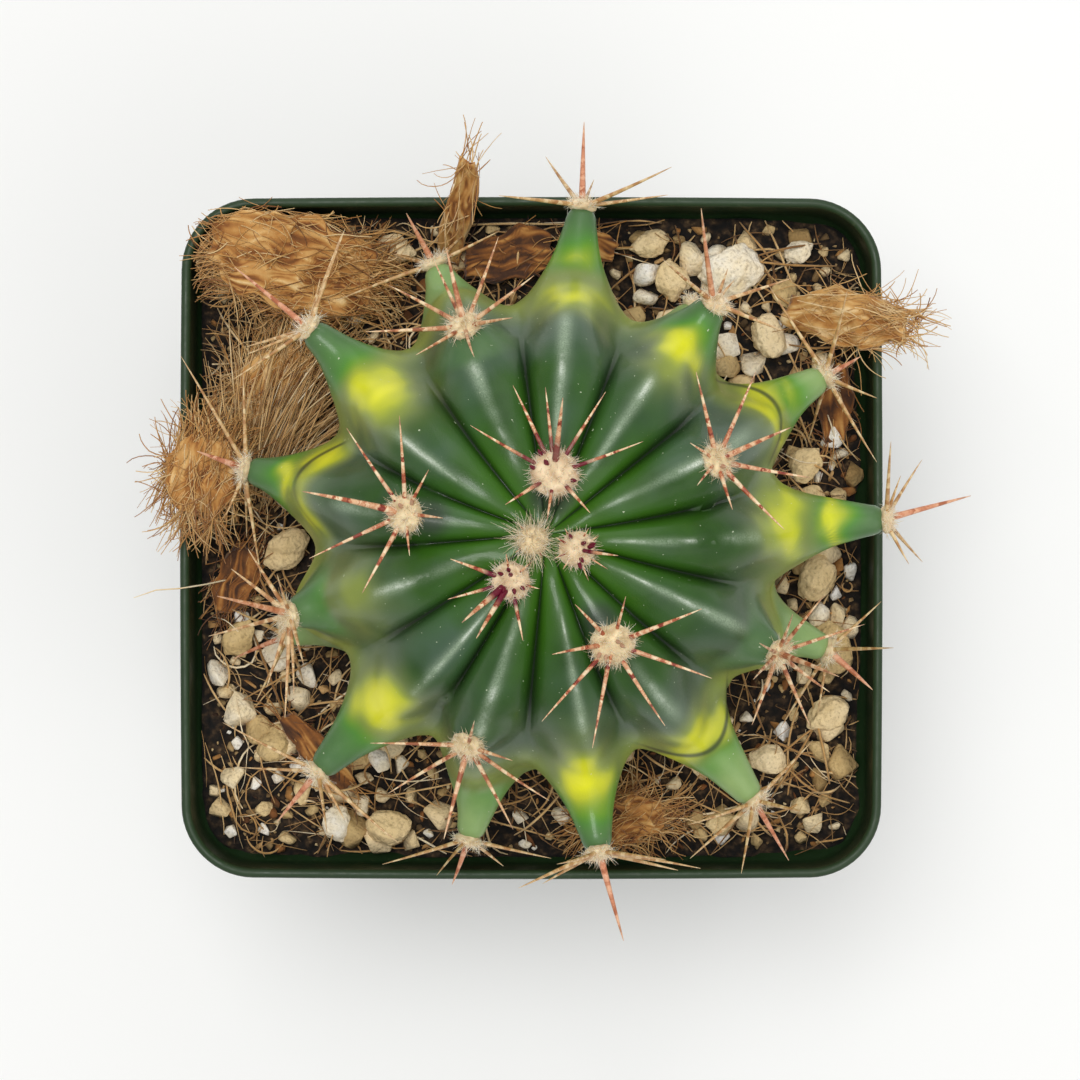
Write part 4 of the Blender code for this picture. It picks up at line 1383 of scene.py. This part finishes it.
def soil_material():
    """Composted bark and peat: crumbly, matt and nearly black where it is damp, with paler dry crumbs."""
    made, tree, shader = new_material("bark_compost_crumbled", Roughness=0.95)
    where = add_node(tree, "ShaderNodeTexCoord").outputs["Object"]
    # Crumbs of about 1 mm.
    crumb = add_node(tree, "ShaderNodeTexNoise", {"Vector": where, "Scale": 900.0, "Detail": 6.0}).outputs[0]
    cell = add_node(tree, "ShaderNodeTexVoronoi", {"Vector": where, "Scale": 700.0}).outputs["Distance"]
    stops = ((0.36, "#080503"), (0.5, "#1E140B"), (0.62, "#40301F"), (0.76, "#7A6040"))
    colour = add_node(tree, "ShaderNodeValToRGB", {0: crumb}, stops=stops).outputs[0]
    finish_shader(tree, shader, (0.9, 0.0008), cell, Base_Color=colour)
    return made


# The finish of each kind of stone or bark: its tones from dark to pale, its pits per metre, and their depth in
# metres.
STONES = {
    "pumice_broken": (
        (
            (0.0, "#9C7E4E"),
            (0.2, "#CBAE78"),
            (0.45, "#E2C795"),
            (0.72, "#EED9B0"),
            (0.88, "#F0E4CC"),
            (1.0, "#F6F2EA"),
        ),
        1500.0,
        0.0003,
    ),
    "pumice_grit_dusty": (
        ((0.0, "#4A3820"), (0.4, "#8C7048"), (0.8, "#BFA270"), (0.97, "#DCC89C"), (1.0, "#EDE8DC")),
        2500.0,
        0.0001,
    ),
    "pine_bark_chipped": (
        ((0.0, "#1E1006"), (0.3, "#4A2A10"), (0.55, "#7E4C22"), (0.8, "#A87840"), (1.0, "#C8A06A")),
        900.0,
        0.0002,
    ),
}


def varied_tone(tree, where, scale):
    """Each piece's own tone, made uneven by a blotchy pattern."""
    tone = add_node(tree, "ShaderNodeAttribute", attribute_name="tone").outputs["Fac"]
    blotch = add_node(tree, "ShaderNodeTexNoise", {"Vector": where, "Scale": scale, "Detail": 4.0}).outputs[0]
    links = {0: blotch, 1: 0.5, 2: tone}
    raised = add_node(tree, "ShaderNodeMath", links, operation="MULTIPLY_ADD").outputs[0]
    return add_node(tree, "ShaderNodeMath", {0: raised, 1: 0.25}, operation="SUBTRACT").outputs[0]


def stone_material(name):
    """Stone or bark with pores, dusty and matt: its tone is each piece's own, with finer grain over it."""
    if name in bpy.data.materials:
        return bpy.data.materials[name]
    stops, pits, depth = STONES[name]
    made, tree, shader = new_material(name, Roughness=0.9)
    where = add_node(tree, "ShaderNodeTexCoord").outputs["Object"]
    pit = add_node(tree, "ShaderNodeTexVoronoi", {"Vector": where, "Scale": pits}).outputs["Distance"]
    grain = add_node(tree, "ShaderNodeTexNoise", {"Vector": where, "Scale": 2600.0, "Detail": 5.0}).outputs[0]
    varied = varied_tone(tree, where, 380.0)
    colour = add_node(tree, "ShaderNodeValToRGB", {0: varied}, stops=stops).outputs[0]
    hollow = add_node(
        tree, "ShaderNodeMapRange", {"Value": grain, "From Min": 0.3, "From Max": 0.48, "To Min": 0.4, "To Max": 0.0}
    ).outputs[0]
    shade = add_node(tree, "ShaderNodeMix", {0: hollow, 6: colour, 7: "#6B5236"}, data_type="RGBA").outputs[2]
    relief = add_node(tree, "ShaderNodeMath", {0: pit, 1: 0.6, 2: grain}, operation="MULTIPLY_ADD").outputs[0]
    finish_shader(tree, shader, (0.7, depth), relief, Base_Color=shade)
    return made


def pebble(chance, corners, stretch):
    """One broken stone about 1 unit long: the hull of a few corners, with its edges worn."""
    bm = bmesh.new()
    size = Vector((1, chance.uniform(*stretch), chance.uniform(*stretch)))
    for _ in range(corners):
        way = Vector([chance.gauss(0, 1) for _ in range(3)]).normalized()
        bm.verts.new(way * chance.uniform(0.44, 0.52))
    hull = bmesh.ops.convex_hull(bm, input=bm.verts)
    inside = [item for item in hull["geom_interior"] if isinstance(item, bmesh.types.BMVert)]
    bmesh.ops.delete(bm, geom=inside, context="VERTS")
    bmesh.ops.dissolve_limit(bm, angle_limit=0.3, verts=bm.verts, edges=bm.edges)
    bmesh.ops.bevel(bm, geom=bm.edges, offset=0.055, segments=1, affect="EDGES", clamp_overlap=True)
    bmesh.ops.scale(bm, vec=size, verts=bm.verts)
    bmesh.ops.recalc_face_normals(bm, faces=bm.faces)
    return bm


def scatter_tree():
    """Nodes that strew pieces over a surface, as thickly as its attribute says, and make them real."""
    tree, given = new_tree(
        "strewn_over_surface",
        (
            ("Surface", "Geometry"),
            ("Pieces", "Collection"),
            ("Most per square metre", "Float"),
            ("Apart", "Float"),
            ("Share", "String"),
            ("Smallest", "Float"),
            ("Largest", "Float"),
            ("Sink", "Float"),
            ("Seed", "Int"),
            ("Finish", "Material"),
        ),
        "Strewn",
    )
    share = add_node(tree, "GeometryNodeInputNamedAttribute", {"Name": given["Share"]}, data_type="FLOAT")
    points = add_node(
        tree,
        "GeometryNodeDistributePointsOnFaces",
        {
            "Mesh": given["Surface"],
            "Distance Min": given["Apart"],
            "Density Max": given["Most per square metre"],
            "Density Factor": share.outputs[0],
            "Seed": given["Seed"],
        },
        distribute_method="POISSON",
    )
    # What chance settles for each piece, each from its own seed: (kind, number of its output, least, most).
    drawn = []
    for step, (kind, output, least, most) in enumerate(
        (
            ("FLOAT", 1, 0.0, 1.0),
            ("INT", 2, 0, 63),
            ("FLOAT_VECTOR", 0, (0, 0, 0), (6.28, 6.28, 6.28)),
            ("FLOAT", 1, 0.0, 1.0),
        ),
        start=1,
    ):
        seed = add_node(tree, "FunctionNodeIntegerMath", {0: given["Seed"], 1: step}, operation="ADD").outputs[0]
        links = {"Seed": seed, 2 * output: least, 2 * output + 1: most}
        drawn.append(add_node(tree, "FunctionNodeRandomValue", links, data_type=kind).outputs[output])
    dice, shape, turn, tone = drawn
    # Small pieces are commoner than large ones.
    skewed = add_node(tree, "ShaderNodeMath", {0: dice, 1: 2.2}, operation="POWER").outputs[0]
    size = add_node(
        tree,
        "ShaderNodeMapRange",
        {"Value": skewed, "To Min": given["Smallest"], "To Max": given["Largest"]},
    ).outputs[0]
    variants = add_node(tree, "GeometryNodeCollectionInfo", {0: given["Pieces"], 1: True, 2: True})
    strewn = add_node(
        tree,
        "GeometryNodeInstanceOnPoints",
        {
            "Points": points.outputs[0],
            "Instance": variants.outputs[0],
            "Pick Instance": True,
            "Instance Index": shape,
            "Rotation": turn,
            "Scale": size,
        },
    )
    down = add_node(tree, "ShaderNodeMath", {0: size, 1: given["Sink"]}, operation="MULTIPLY")
    drop = add_node(tree, "ShaderNodeCombineXYZ", {"Z": down.outputs[0]})
    moved = add_node(
        tree,
        "GeometryNodeTranslateInstances",
        {"Instances": strewn.outputs[0], "Translation": drop.outputs[0], "Local Space": False},
    )
    toned = add_node(
        tree,
        "GeometryNodeStoreNamedAttribute",
        {"Geometry": moved.outputs[0], "Name": "tone", "Value": tone},
        domain="INSTANCE",
    )
    real = add_node(tree, "GeometryNodeRealizeInstances", {0: toned.outputs[0]})
    made = add_node(tree, "GeometryNodeSetMaterial", {0: real.outputs[0], "Material": given["Finish"]})
    add_node(tree, "NodeGroupOutput", {0: made.outputs[0]})
    return tree


def mix_surface(rings, around, apart=0.0):
    """Points in mm and faces of the top of the mix, in rings that end this far apart from the wall."""
    points, faces = [], []
    for ring in range(rings + 1):
        share = ring / rings
        for step in range(around):
            turn = 2 * math.pi * step / around
            x, y = inside_wall(math.cos(turn) * FAR_OUT, math.sin(turn) * FAR_OUT, apart)
            x, y = x * share, y * share
            points.append((x, y, mix_height(x, y)))
    for ring in range(rings):
        for step in range(around):
            after = (step + 1) % around
            low, high = ring * around, (ring + 1) * around
            if ring:
                faces.append((low + step, high + step, high + after, low + after))
            else:
                faces.append((low, high + step, high + after))
    return points, faces


# What is strewn over the mix, in order: finish, material slot, attribute that says where, how far apart, smallest
# and largest in metres, share of its size that lies lower, shapes, corners of each, and how flat they may be.
STREWN = {
    "gravel": ("pumice_broken", "pumice", "gravel", 0.0024, 0.0022, 0.0066, 0.22, 12, 14, (0.55, 0.95)),
    "grit": ("pumice_grit_dusty", "pumice", "all", 0.0009, 0.0006, 0.0021, 0.12, 8, 9, (0.55, 0.95)),
    "bark_crumbs": ("pine_bark_chipped", "potting_mix", "all", 0.0011, 0.0008, 0.0038, 0.12, 8, 9, (0.25, 0.6)),
}
# Nothing lies nearer to the stem's middle than this, in mm, and it thickens over the width after it.
BARE_REACH, BARE_FADE = 19, 4


def strewn(name, chance, most, seed):
    """Pieces strewn over the top of the mix, at most so many per square metre, as one mesh."""
    finish, _, where, apart, smallest, largest, sink, shapes, corners, stretch = STREWN[name]
    pieces = bpy.data.collections.new(name)
    for number in range(shapes):
        mesh = mesh_of(pebble(chance, corners, stretch), f"{name}_{number}")
        mesh.shade_smooth()
        pieces.objects.link(bpy.data.objects.new(mesh.name, mesh))
    points, faces = mix_surface(40, 120, 1.2)
    surface = mesh_from("surface", [Vector(p) * MM for p in points], faces)
    gravel, coir = [], []
    for x, y, z in points:
        bare = max(0.0, min(1.0, (math.hypot(x, y) - BARE_REACH) / BARE_FADE))
        gravel.append(bare * min(1, patch_value(x, y, 3)))
        coir.append(bare * min(1, patch_value(x, y, 4)))
    store(surface, "gravel", gravel)
    store(surface, "all", [max(a, b) for a, b in zip(gravel, coir)])
    settings = {
        "Pieces": pieces,
        "Most per square metre": most,
        "Apart": apart,
        "Share": where,
        "Smallest": smallest,
        "Largest": largest,
        "Sink": sink,
        "Seed": seed,
        "Finish": stone_material(finish),
    }
    tree = bpy.data.node_groups.get("strewn_over_surface") or scatter_tree()
    mesh = evaluated_mesh(name, surface, tree, **settings)
    for obj in list(pieces.objects):
        bpy.data.objects.remove(obj)
    bpy.data.collections.remove(pieces)
    return mesh


# Rings and columns of faces on top of the mix, and the edge of the mix further down, as (share of the size at
# the top, height in mm).
MIX_RINGS, MIX_COLUMNS = 90, 240
MIX_SIDE = ((0.95, 75.5), (0.8, 28), (0.71, 1.6), (0.4, 1.6), (0.001, 1.6))


class CactusMixSettings(bpy.types.PropertyGroup):
    gravel: FloatProperty(name="Gravel", description="Stones per square metre at most", default=270000)
    grit: FloatProperty(name="Grit", description="Grains per square metre at most", default=300000)
    bark_crumbs: FloatProperty(name="Crumbs", description="Bark crumbs per square metre at most", default=260000)
    seed: IntProperty(name="Seed", description="Changes where the grains lie", default=11)


class CACTUS_OT_add_mix(bpy.types.Operator):
    """Adds the compost with its gravel, grit and bark crumbs"""

    bl_idname = "cactus.add_mix"
    bl_label = "Add potting mix"

    def execute(self, context):
        settings = context.scene.cactus_mix
        chance = random.Random(settings.seed)
        points, faces = mix_surface(MIX_RINGS, MIX_COLUMNS)
        edge = points[-MIX_COLUMNS:]
        base = len(points)
        for share, height in MIX_SIDE:
            points += [(x * share, y * share, height) for x, y, z in edge]
        for ring in range(len(MIX_SIDE)):
            low = base - MIX_COLUMNS + ring * MIX_COLUMNS
            high = low + MIX_COLUMNS
            for step in range(MIX_COLUMNS):
                after = (step + 1) % MIX_COLUMNS
                faces.append((low + step, high + step, high + after, low + after))
        faces.append(tuple(range(len(points) - MIX_COLUMNS, len(points))))
        bm = bmesh.new()
        bm.from_mesh(mesh_from("compost", [Vector(p) * MM for p in points], faces))
        bmesh.ops.remove_doubles(bm, verts=bm.verts, dist=0.01 * MM)
        bmesh.ops.recalc_face_normals(bm, faces=bm.faces)
        add_piece("compost", mesh_of(bm, "compost", soil_material()), "potting_mix", "soil")
        for number, (name, (_, slot, *_)) in enumerate(STREWN.items()):
            mesh = strewn(name, chance, getattr(settings, name), settings.seed + number)
            add_piece(name, mesh, slot)
        return {"FINISHED"}


class CACTUS_OT_add_pumice(bpy.types.Operator):
    """Adds the large pumice stones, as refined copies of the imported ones"""

    bl_idname = "cactus.add_pumice"
    bl_label = "Add pumice stones"

    def execute(self, context):
        nodes = sorted(name for name in frame["nodes"] if name.startswith("pumice"))
        whole = bmesh.new()
        tone = whole.verts.layers.float.new("tone")
        chance = random.Random(5)
        for number, name in enumerate(nodes):
            mesh = fine_copy(name, ("SIMPLE", 2), ("CATMULL_CLARK", 1))
            points = np.array([v.co for v in mesh.vertices])
            middle = Vector(points.mean(axis=0))
            value = chance.choice((0.2, 0.4, 0.5, 0.6, 0.85))
            first = len(whole.verts)
            whole.from_mesh(mesh)
            whole.verts.ensure_lookup_table()
            for vertex in whole.verts[first:]:
                away = vertex.co - middle
                at = vertex.co / MM
                swell = 1.04 + 0.12 * noise.noise(at / 1.7 + Vector((number, 0, 0)))
                swell += 0.07 * noise.noise(at / 0.6)
                vertex.co = middle + away * swell
                vertex[tone] = value
        mesh = mesh_of(whole, "pumice_stones", stone_material("pumice_broken"))
        add_piece("pumice_stones", mesh, "pumice", *nodes)
        return {"FINISHED"}


# Coir husks and fibres


def coir_material(name, stops):
    """Coir: coarse fibre from coconut husk, matt, darker where it is felted together."""
    made, tree, shader = new_material(name, Roughness=0.85, Sheen_Weight=0.15)
    where = add_node(tree, "ShaderNodeTexCoord").outputs["Object"]
    varied = varied_tone(tree, where, 500.0)
    colour = add_node(tree, "ShaderNodeValToRGB", {0: varied}, stops=stops).outputs[0]
    fine = add_node(tree, "ShaderNodeTexNoise", {"Vector": where, "Scale": 3000.0, "Detail": 3.0}).outputs[0]
    finish_shader(tree, shader, (0.6, 0.0002), fine, Base_Color=colour)
    return made


# Each husk: its long direction in degrees, how many fibres stand off it, its tone from dark brown to straw, how
# much it is stretched along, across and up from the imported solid, and how ragged it is in mm.
HUSKS = {
    "husk_slab_corner": (-12, 1700, 0.48, (1.1, 1.4, 1.0), 1.5),
    "fibre_tuft_left": (62, 1100, 0.62, (0.8, 0.62, 0.5), 1.2),
    "husk_cap_left": (80, 1050, 0.52, (0.95, 0.95, 0.8), 0.9),
    "husk_blade_top": (78, 60, 0.5, (1.0, 1.2, 1.0), 0.7),
    "husk_chip_rust": (8, 60, 0.12, (1.15, 1.1, 0.8), 0.9),
    "husk_chip_amber": (-20, 16, 0.36, (1.0, 1.0, 0.8), 0.7),
    "husk_blade_right": (-12, 290, 0.62, (1.0, 1.35, 0.8), 1.3),
    "husk_chip_right": (95, 60, 0.2, (1.0, 1.1, 0.8), 0.8),
    "husk_chip_left": (70, 120, 0.2, (1.1, 1.3, 0.7), 0.9),
    "husk_chip_low_left": (-50, 60, 0.24, (1.2, 1.1, 0.8), 0.7),
    "husk_chip_bottom": (15, 520, 0.44, (0.9, 1.0, 0.7), 1.3),
}
LARGE_HUSK = "husk_slab_corner"
HAIR_STEPS = 7
# Fibres inside this half length and half width of the pot rest on the mix.
MIX_HALF = (42.3, 41)


class CACTUS_OT_add_husks(bpy.types.Operator):
    """Adds the pieces of coconut husk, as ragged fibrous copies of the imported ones"""

    bl_idname = "cactus.add_husks"
    bl_label = "Add husks"

    def execute(self, context):
        chance = random.Random(21)
        finish = coir_material(
            "coir_husk_felted",
            ((0.0, "#3E2008"), (0.3, "#86501C"), (0.5, "#B27C3C"), (0.75, "#CCA060"), (1.0, "#E6C894")),
        )
        for number, (name, (turn, hairs, tone, stretch, ragged)) in enumerate(HUSKS.items()):
            mesh = fine_copy(name, ("SIMPLE", 4 if name == LARGE_HUSK else 3))
            long = Vector((math.cos(math.radians(turn)), math.sin(math.radians(turn)), 0))
            wide = Vector((-long.y, long.x, 0))
            middle = Vector(np.array([v.co for v in mesh.vertices]).mean(axis=0)) / MM
            strands = Strands("tone")
            body = bmesh.new()
            body.from_mesh(mesh)
            tone_layer = body.verts.layers.float.new("tone")
            top = []
            for vertex in body.verts:
                away = vertex.co / MM - middle
                away = (
                    long * away.dot(long) * stretch[0]
                    + wide * away.dot(wide) * stretch[1]
                    + Vector((0, 0, away.z * stretch[2]))
                )
                at = middle + away
                # Ridges run along the husk's fibres, about 0.5 mm apart.
                along, across = at.dot(long), at.dot(wide)
                ridge = noise.noise(Vector((along / 4, across / 0.45, at.z / 0.9)) + Vector((number * 9, 0, 0)))
                torn = noise.noise_vector(Vector((along / 2.6, across / 2.6, number * 3.0)))
                out = away.normalized()
                moved = at + out * 0.22 * ridge + Vector((torn.x, torn.y, torn.z * 0.35)) * ragged
                vertex.co = moved * MM
                vertex[tone_layer] = max(0, min(1, tone + 0.55 * ridge + 0.25 * torn.z))
                if out.z > -0.2:
                    top.append(moved)
            for _ in range(hairs):
                start = Vector(chance.choice(top)) + Vector((0, 0, chance.uniform(-0.1, 0.35)))
                length = chance.uniform(1.5, 6.5) * (1.6 if name == "fibre_tuft_left" else 1)
                heading = math.radians(turn + chance.gauss(0, 26) + (180 if chance.random() < 0.5 else 0))
                rise = chance.uniform(-0.15, 0.16)
                curl = chance.gauss(0, 0.10)
                line, point = [start], start
                for _ in range(HAIR_STEPS):
                    heading += curl + chance.gauss(0, 0.05)
                    rise -= 0.04
                    point = point + Vector((math.cos(heading), math.sin(heading), rise)) * length / HAIR_STEPS
                    if crosses_wall(point):
                        break
                    floor = mix_height(point.x, point.y) + 0.2
                    if abs(point.x) < MIX_HALF[0] and abs(point.y) < MIX_HALF[1] and point.z < floor:
                        point.z = floor
                    line.append(point)
                size = chance.uniform(0.05, 0.11)
                outside = name == LARGE_HUSK and not within_wall(line[-1].x, line[-1].y, -WALL_REACH)
                if len(line) < 3 or outside:
                    continue
                strands.add(
                    line,
                    thickness=[size * (1 - 0.6 * abs(step / HAIR_STEPS - 0.4)) for step in range(len(line))],
                    tone=max(0, min(1, tone + chance.gauss(0.12, 0.18))),
                )
            solid = mesh_of(body, "husk", finish)
            fur = tubes("fur", strands, finish, sides=3)
            piece = f"{name}_coir"
            add_piece(piece, joined(piece, [solid, fur]), "coir_husk", name)
        return {"FINISHED"}


# Thick straws lying on the mix: (x and y of one end in mm, heading in degrees, length in mm, tone).
STRAWS = (
    (-18.5, 35.5, 22, 14.0, 0.75),
    (-10.5, 40.5, 2, 15.0, 0.8),
    (-21.0, 28.0, 16, 12.0, 0.7),
    (-5.5, 39.8, -8, 11.0, 0.6),
    (-22.5, 39.5, -50, 8.0, 0.7),
    (29.0, 33.0, -38, 13.0, 0.55),
    (30.5, 29.5, -62, 12.0, 0.7),
    (27.5, 36.0, -15, 12.0, 0.5),
    (33.0, 20.0, -75, 9.0, 0.65),
    (-36.0, -12.0, -68, 12.0, 0.35),
    (-37.5, -21.0, 30, 12.0, 0.55),
    (-34.0, -30.0, -20, 14.0, 0.6),
    (-20.0, -33.5, 12, 13.0, 0.7),
    (-9.0, -35.5, -12, 14.0, 0.65),
    (3.0, -38.5, 8, 13.0, 0.6),
    (19.0, -33.0, -28, 13.0, 0.7),
    (24.5, -29.0, -50, 11.0, 0.45),
    (31.0, -33.5, 62, 11.0, 0.5),
    (36.0, -20.0, -80, 12.0, 0.6),
    (-37.0, 4.0, -85, 11.0, 0.3),
    (-36.0, -3.0, -62, 10.0, 0.4),
)


# One pale strand that hangs out over the rim at the left: (x, y, height, thickness) in mm.
RIM_STRAND = (
    (-38.5, -5.2, 80.6, 0.1),
    (-41.5, -5.9, 84.2, 0.1),
    (-44.6, -6.4, 86.9, 0.09),
    (-47.6, -6.6, 86.6, 0.08),
    (-50.6, -7.6, 85.4, 0.05),
)


class CactusFibreSettings(bpy.types.PropertyGroup):
    loose: IntProperty(name="Loose fibres", description="Strewn over the mix", default=1250)
    bundle: IntProperty(name="Bundle", description="Long fibres at the left", default=420)
    seed: IntProperty(name="Seed", description="Changes how the fibres lie", default=8)


class CACTUS_OT_add_fibres(bpy.types.Operator):
    """Adds loose coir fibres over the mix, the long bundle at the left and a strand over the rim"""

    bl_idname = "cactus.add_fibres"
    bl_label = "Add fibres"

    def execute(self, context):
        settings = context.scene.cactus_fibres
        chance = random.Random(settings.seed)
        strands = Strands("tone")

        def lay(x, y, heading, length, size, tone, curl=0.05, lift=0.8, steps=9):
            """A fibre lying on the mix from this point."""
            line = []
            drift = chance.gauss(0, curl)
            high = lift * chance.uniform(0.4, 1.6)
            for step in range(steps + 1):
                share = step / steps
                if not within_wall(x, y, 0.3):
                    break
                arch = high * (0.35 + math.sin(math.pi * share))
                line.append(Vector((x, y, mix_height(x, y) + 0.4 + arch)))
                heading += drift + chance.gauss(0, curl * 0.6)
                x += math.cos(heading) * length / steps
                y += math.sin(heading) * length / steps
            if len(line) > 2:
                last = len(line) - 1
                thickness = [size * (1 - 0.5 * abs(2 * s / last - 1) ** 2) for s in range(last + 1)]
                strands.add(line, thickness=thickness, tone=max(0, min(1, tone)))

        laid = 0
        while laid < settings.loose:
            x, y = chance.uniform(-43, 43), chance.uniform(-42, 42)
            if math.hypot(x, y) < 22 or chance.random() > patch_value(x, y, 4):
                continue
            laid += 1
            lay(
                x,
                y,
                chance.uniform(0, 2 * math.pi),
                chance.uniform(3, 13),
                chance.choice((0.05, 0.07, 0.1, 0.16)),
                chance.gauss(0.6, 0.22),
                curl=chance.choice((0.04, 0.1, 0.22)),
                lift=chance.choice((0.6, 0.8, 2.2)),
            )
        for x, y, turn, length, tone in STRAWS:
            lay(x, y, math.radians(turn), length, chance.uniform(0.11, 0.2), tone, curl=0.012, lift=2.0)
        points, thickness = zip(*((point, radius) for *point, radius in RIM_STRAND))
        strands.add([Vector(p) for p in points], thickness=thickness, tone=0.97)
        for _ in range(settings.bundle):
            # The bundle fans out to the upper right from where it is pinched together.
            spread = chance.gauss(0, 1)
            x, y = -34.5 + spread * 2.2 + chance.gauss(0, 0.8), 8.5 + chance.gauss(0, 2.6)
            heading = math.radians(64 - spread * 16 + chance.gauss(0, 5))
            lay(
                x,
                y,
                heading,
                chance.uniform(9, 21),
                chance.uniform(0.05, 0.11),
                chance.gauss(0.66, 0.16),
                curl=0.025,
                lift=chance.uniform(1.2, 4.6),
            )
        mesh = tubes(
            "loose_fibres",
            strands,
            coir_material(
                "coir_fibre_loose",
                ((0.0, "#402408"), (0.35, "#8C6230"), (0.6, "#BE9256"), (0.85, "#DCBA82"), (1.0, "#F2E0BC")),
            ),
            sides=4,
        )
        add_piece("loose_fibres", mesh, "coir_husk")
        return {"FINISHED"}


# Stage

# The camera's place over the pot, in metres.
CAMERA_PLACE = (0.0011, -0.00025)
# Soft lights: (place, size) in metres and power in watts. All of them face one point.
LIGHTS = {
    "key": ((-0.08, 0.12, 0.95), 0.35, 4.2),
    "fill": ((0.5, -0.45, 0.8), 0.9, 2.2),
    "back": ((0.1, 0.7, 0.5), 0.5, 1.0),
}
LIT_POINT = (0, 0, 0.09)
WORLD_STRENGTH = 0.5
FLOOR_HALF, FLOOR_HEIGHT = 3.0, -0.0002


class CactusStageSettings(bpy.types.PropertyGroup):
    camera_height: FloatProperty(name="Camera height", description="Above the floor", default=0.466, unit="LENGTH")
    view_width: FloatProperty(name="View width", description="Seen across at the rim", default=0.1372, unit="LENGTH")


class CACTUS_OT_set_stage(bpy.types.Operator):
    """Sets the floor, the lights and the camera"""

    bl_idname = "cactus.set_stage"
    bl_label = "Set stage"

    def execute(self, context):
        settings = context.scene.cactus_stage
        scene = context.scene
        camera = in_scene("camera", bpy.data.cameras.new("camera"))
        camera.location = (*CAMERA_PLACE, settings.camera_height)
        above_rim = settings.camera_height - POT_HIGH.z
        camera.data.angle = 2 * math.atan(settings.view_width / 2 / above_rim)
        camera.data.clip_start = 0.01
        scene.camera = camera
        for name, (place, size, power) in LIGHTS.items():
            lamp = in_scene(name, bpy.data.lights.new(name, "AREA"))
            lamp.data.size = size
            lamp.data.energy = power
            lamp.location = place
            lamp.rotation_euler = (Vector(LIT_POINT) - Vector(place)).to_track_quat("-Z", "Y").to_euler()
        world = bpy.data.worlds.new("studio")
        world.use_nodes = True
        background = world.node_tree.nodes["Background"]
        background.inputs["Color"].default_value = (1, 1, 1, 1)
        background.inputs["Strength"].default_value = WORLD_STRENGTH
        scene.world = world
        scene.view_settings.view_transform = "Standard"
        corners = [(x * FLOOR_HALF, y * FLOOR_HALF, FLOOR_HEIGHT) for x, y in ((-1, -1), (1, -1), (1, 1), (-1, 1))]
        floor = in_scene("floor", mesh_from("floor", corners, [(0, 1, 2, 3)], smooth=False))
        # Paper sweep: matt and nearly white.
        finish, tree, shader = new_material("paper_sweep_matt", Roughness=0.9, Base_Color=(*linear("#F6F6F4"), 1))
        floor.data.materials.append(finish)
        return {"FINISHED"}


STEPS = (
    "set_stage",
    "add_pot",
    "add_mix",
    "add_pumice",
    "add_husks",
    "add_fibres",
    "add_stem",
    "add_wool",
    "add_spines",
)


class CACTUS_PT_panel(bpy.types.Panel):
    """Lists the pieces and their settings"""

    bl_idname = "CACTUS_PT_panel"
    bl_label = "Potted cactus"
    bl_space_type = "VIEW_3D"
    bl_region_type = "UI"
    bl_category = "Cactus"

    def draw(self, context):
        for step in STEPS:
            self.layout.operator(f"cactus.{step}")
        for name in SETTINGS:
            group = getattr(context.scene, name)
            box = self.layout.box()
            for key in group.bl_rna.properties.keys():
                if key not in ("rna_type", "name"):
                    box.prop(group, key)


CLASSES = (
    CactusStemSettings,
    CactusAreoleSettings,
    CactusPotSettings,
    CactusMixSettings,
    CactusFibreSettings,
    CactusStageSettings,
    CACTUS_OT_set_stage,
    CACTUS_OT_add_stem,
    CACTUS_OT_add_wool,
    CACTUS_OT_add_spines,
    CACTUS_OT_add_pot,
    CACTUS_OT_add_mix,
    CACTUS_OT_add_pumice,
    CACTUS_OT_add_husks,
    CACTUS_OT_add_fibres,
    CACTUS_PT_panel,
)
SETTINGS = {
    "cactus_stem": CactusStemSettings,
    "cactus_areoles": CactusAreoleSettings,
    "cactus_pot": CactusPotSettings,
    "cactus_mix": CactusMixSettings,
    "cactus_fibres": CactusFibreSettings,
    "cactus_stage": CactusStageSettings,
}


def register():
    for each in CLASSES:
        bpy.utils.register_class(each)
    for name, kind in SETTINGS.items():
        setattr(bpy.types.Scene, name, PointerProperty(type=kind))


def unregister():
    for name in SETTINGS:
        delattr(bpy.types.Scene, name)
    for each in reversed(CLASSES):
        bpy.utils.unregister_class(each)


def main():
    register()
    for step in STEPS:
        getattr(bpy.ops.cactus, step)()


if __name__ == "__main__":
    main()
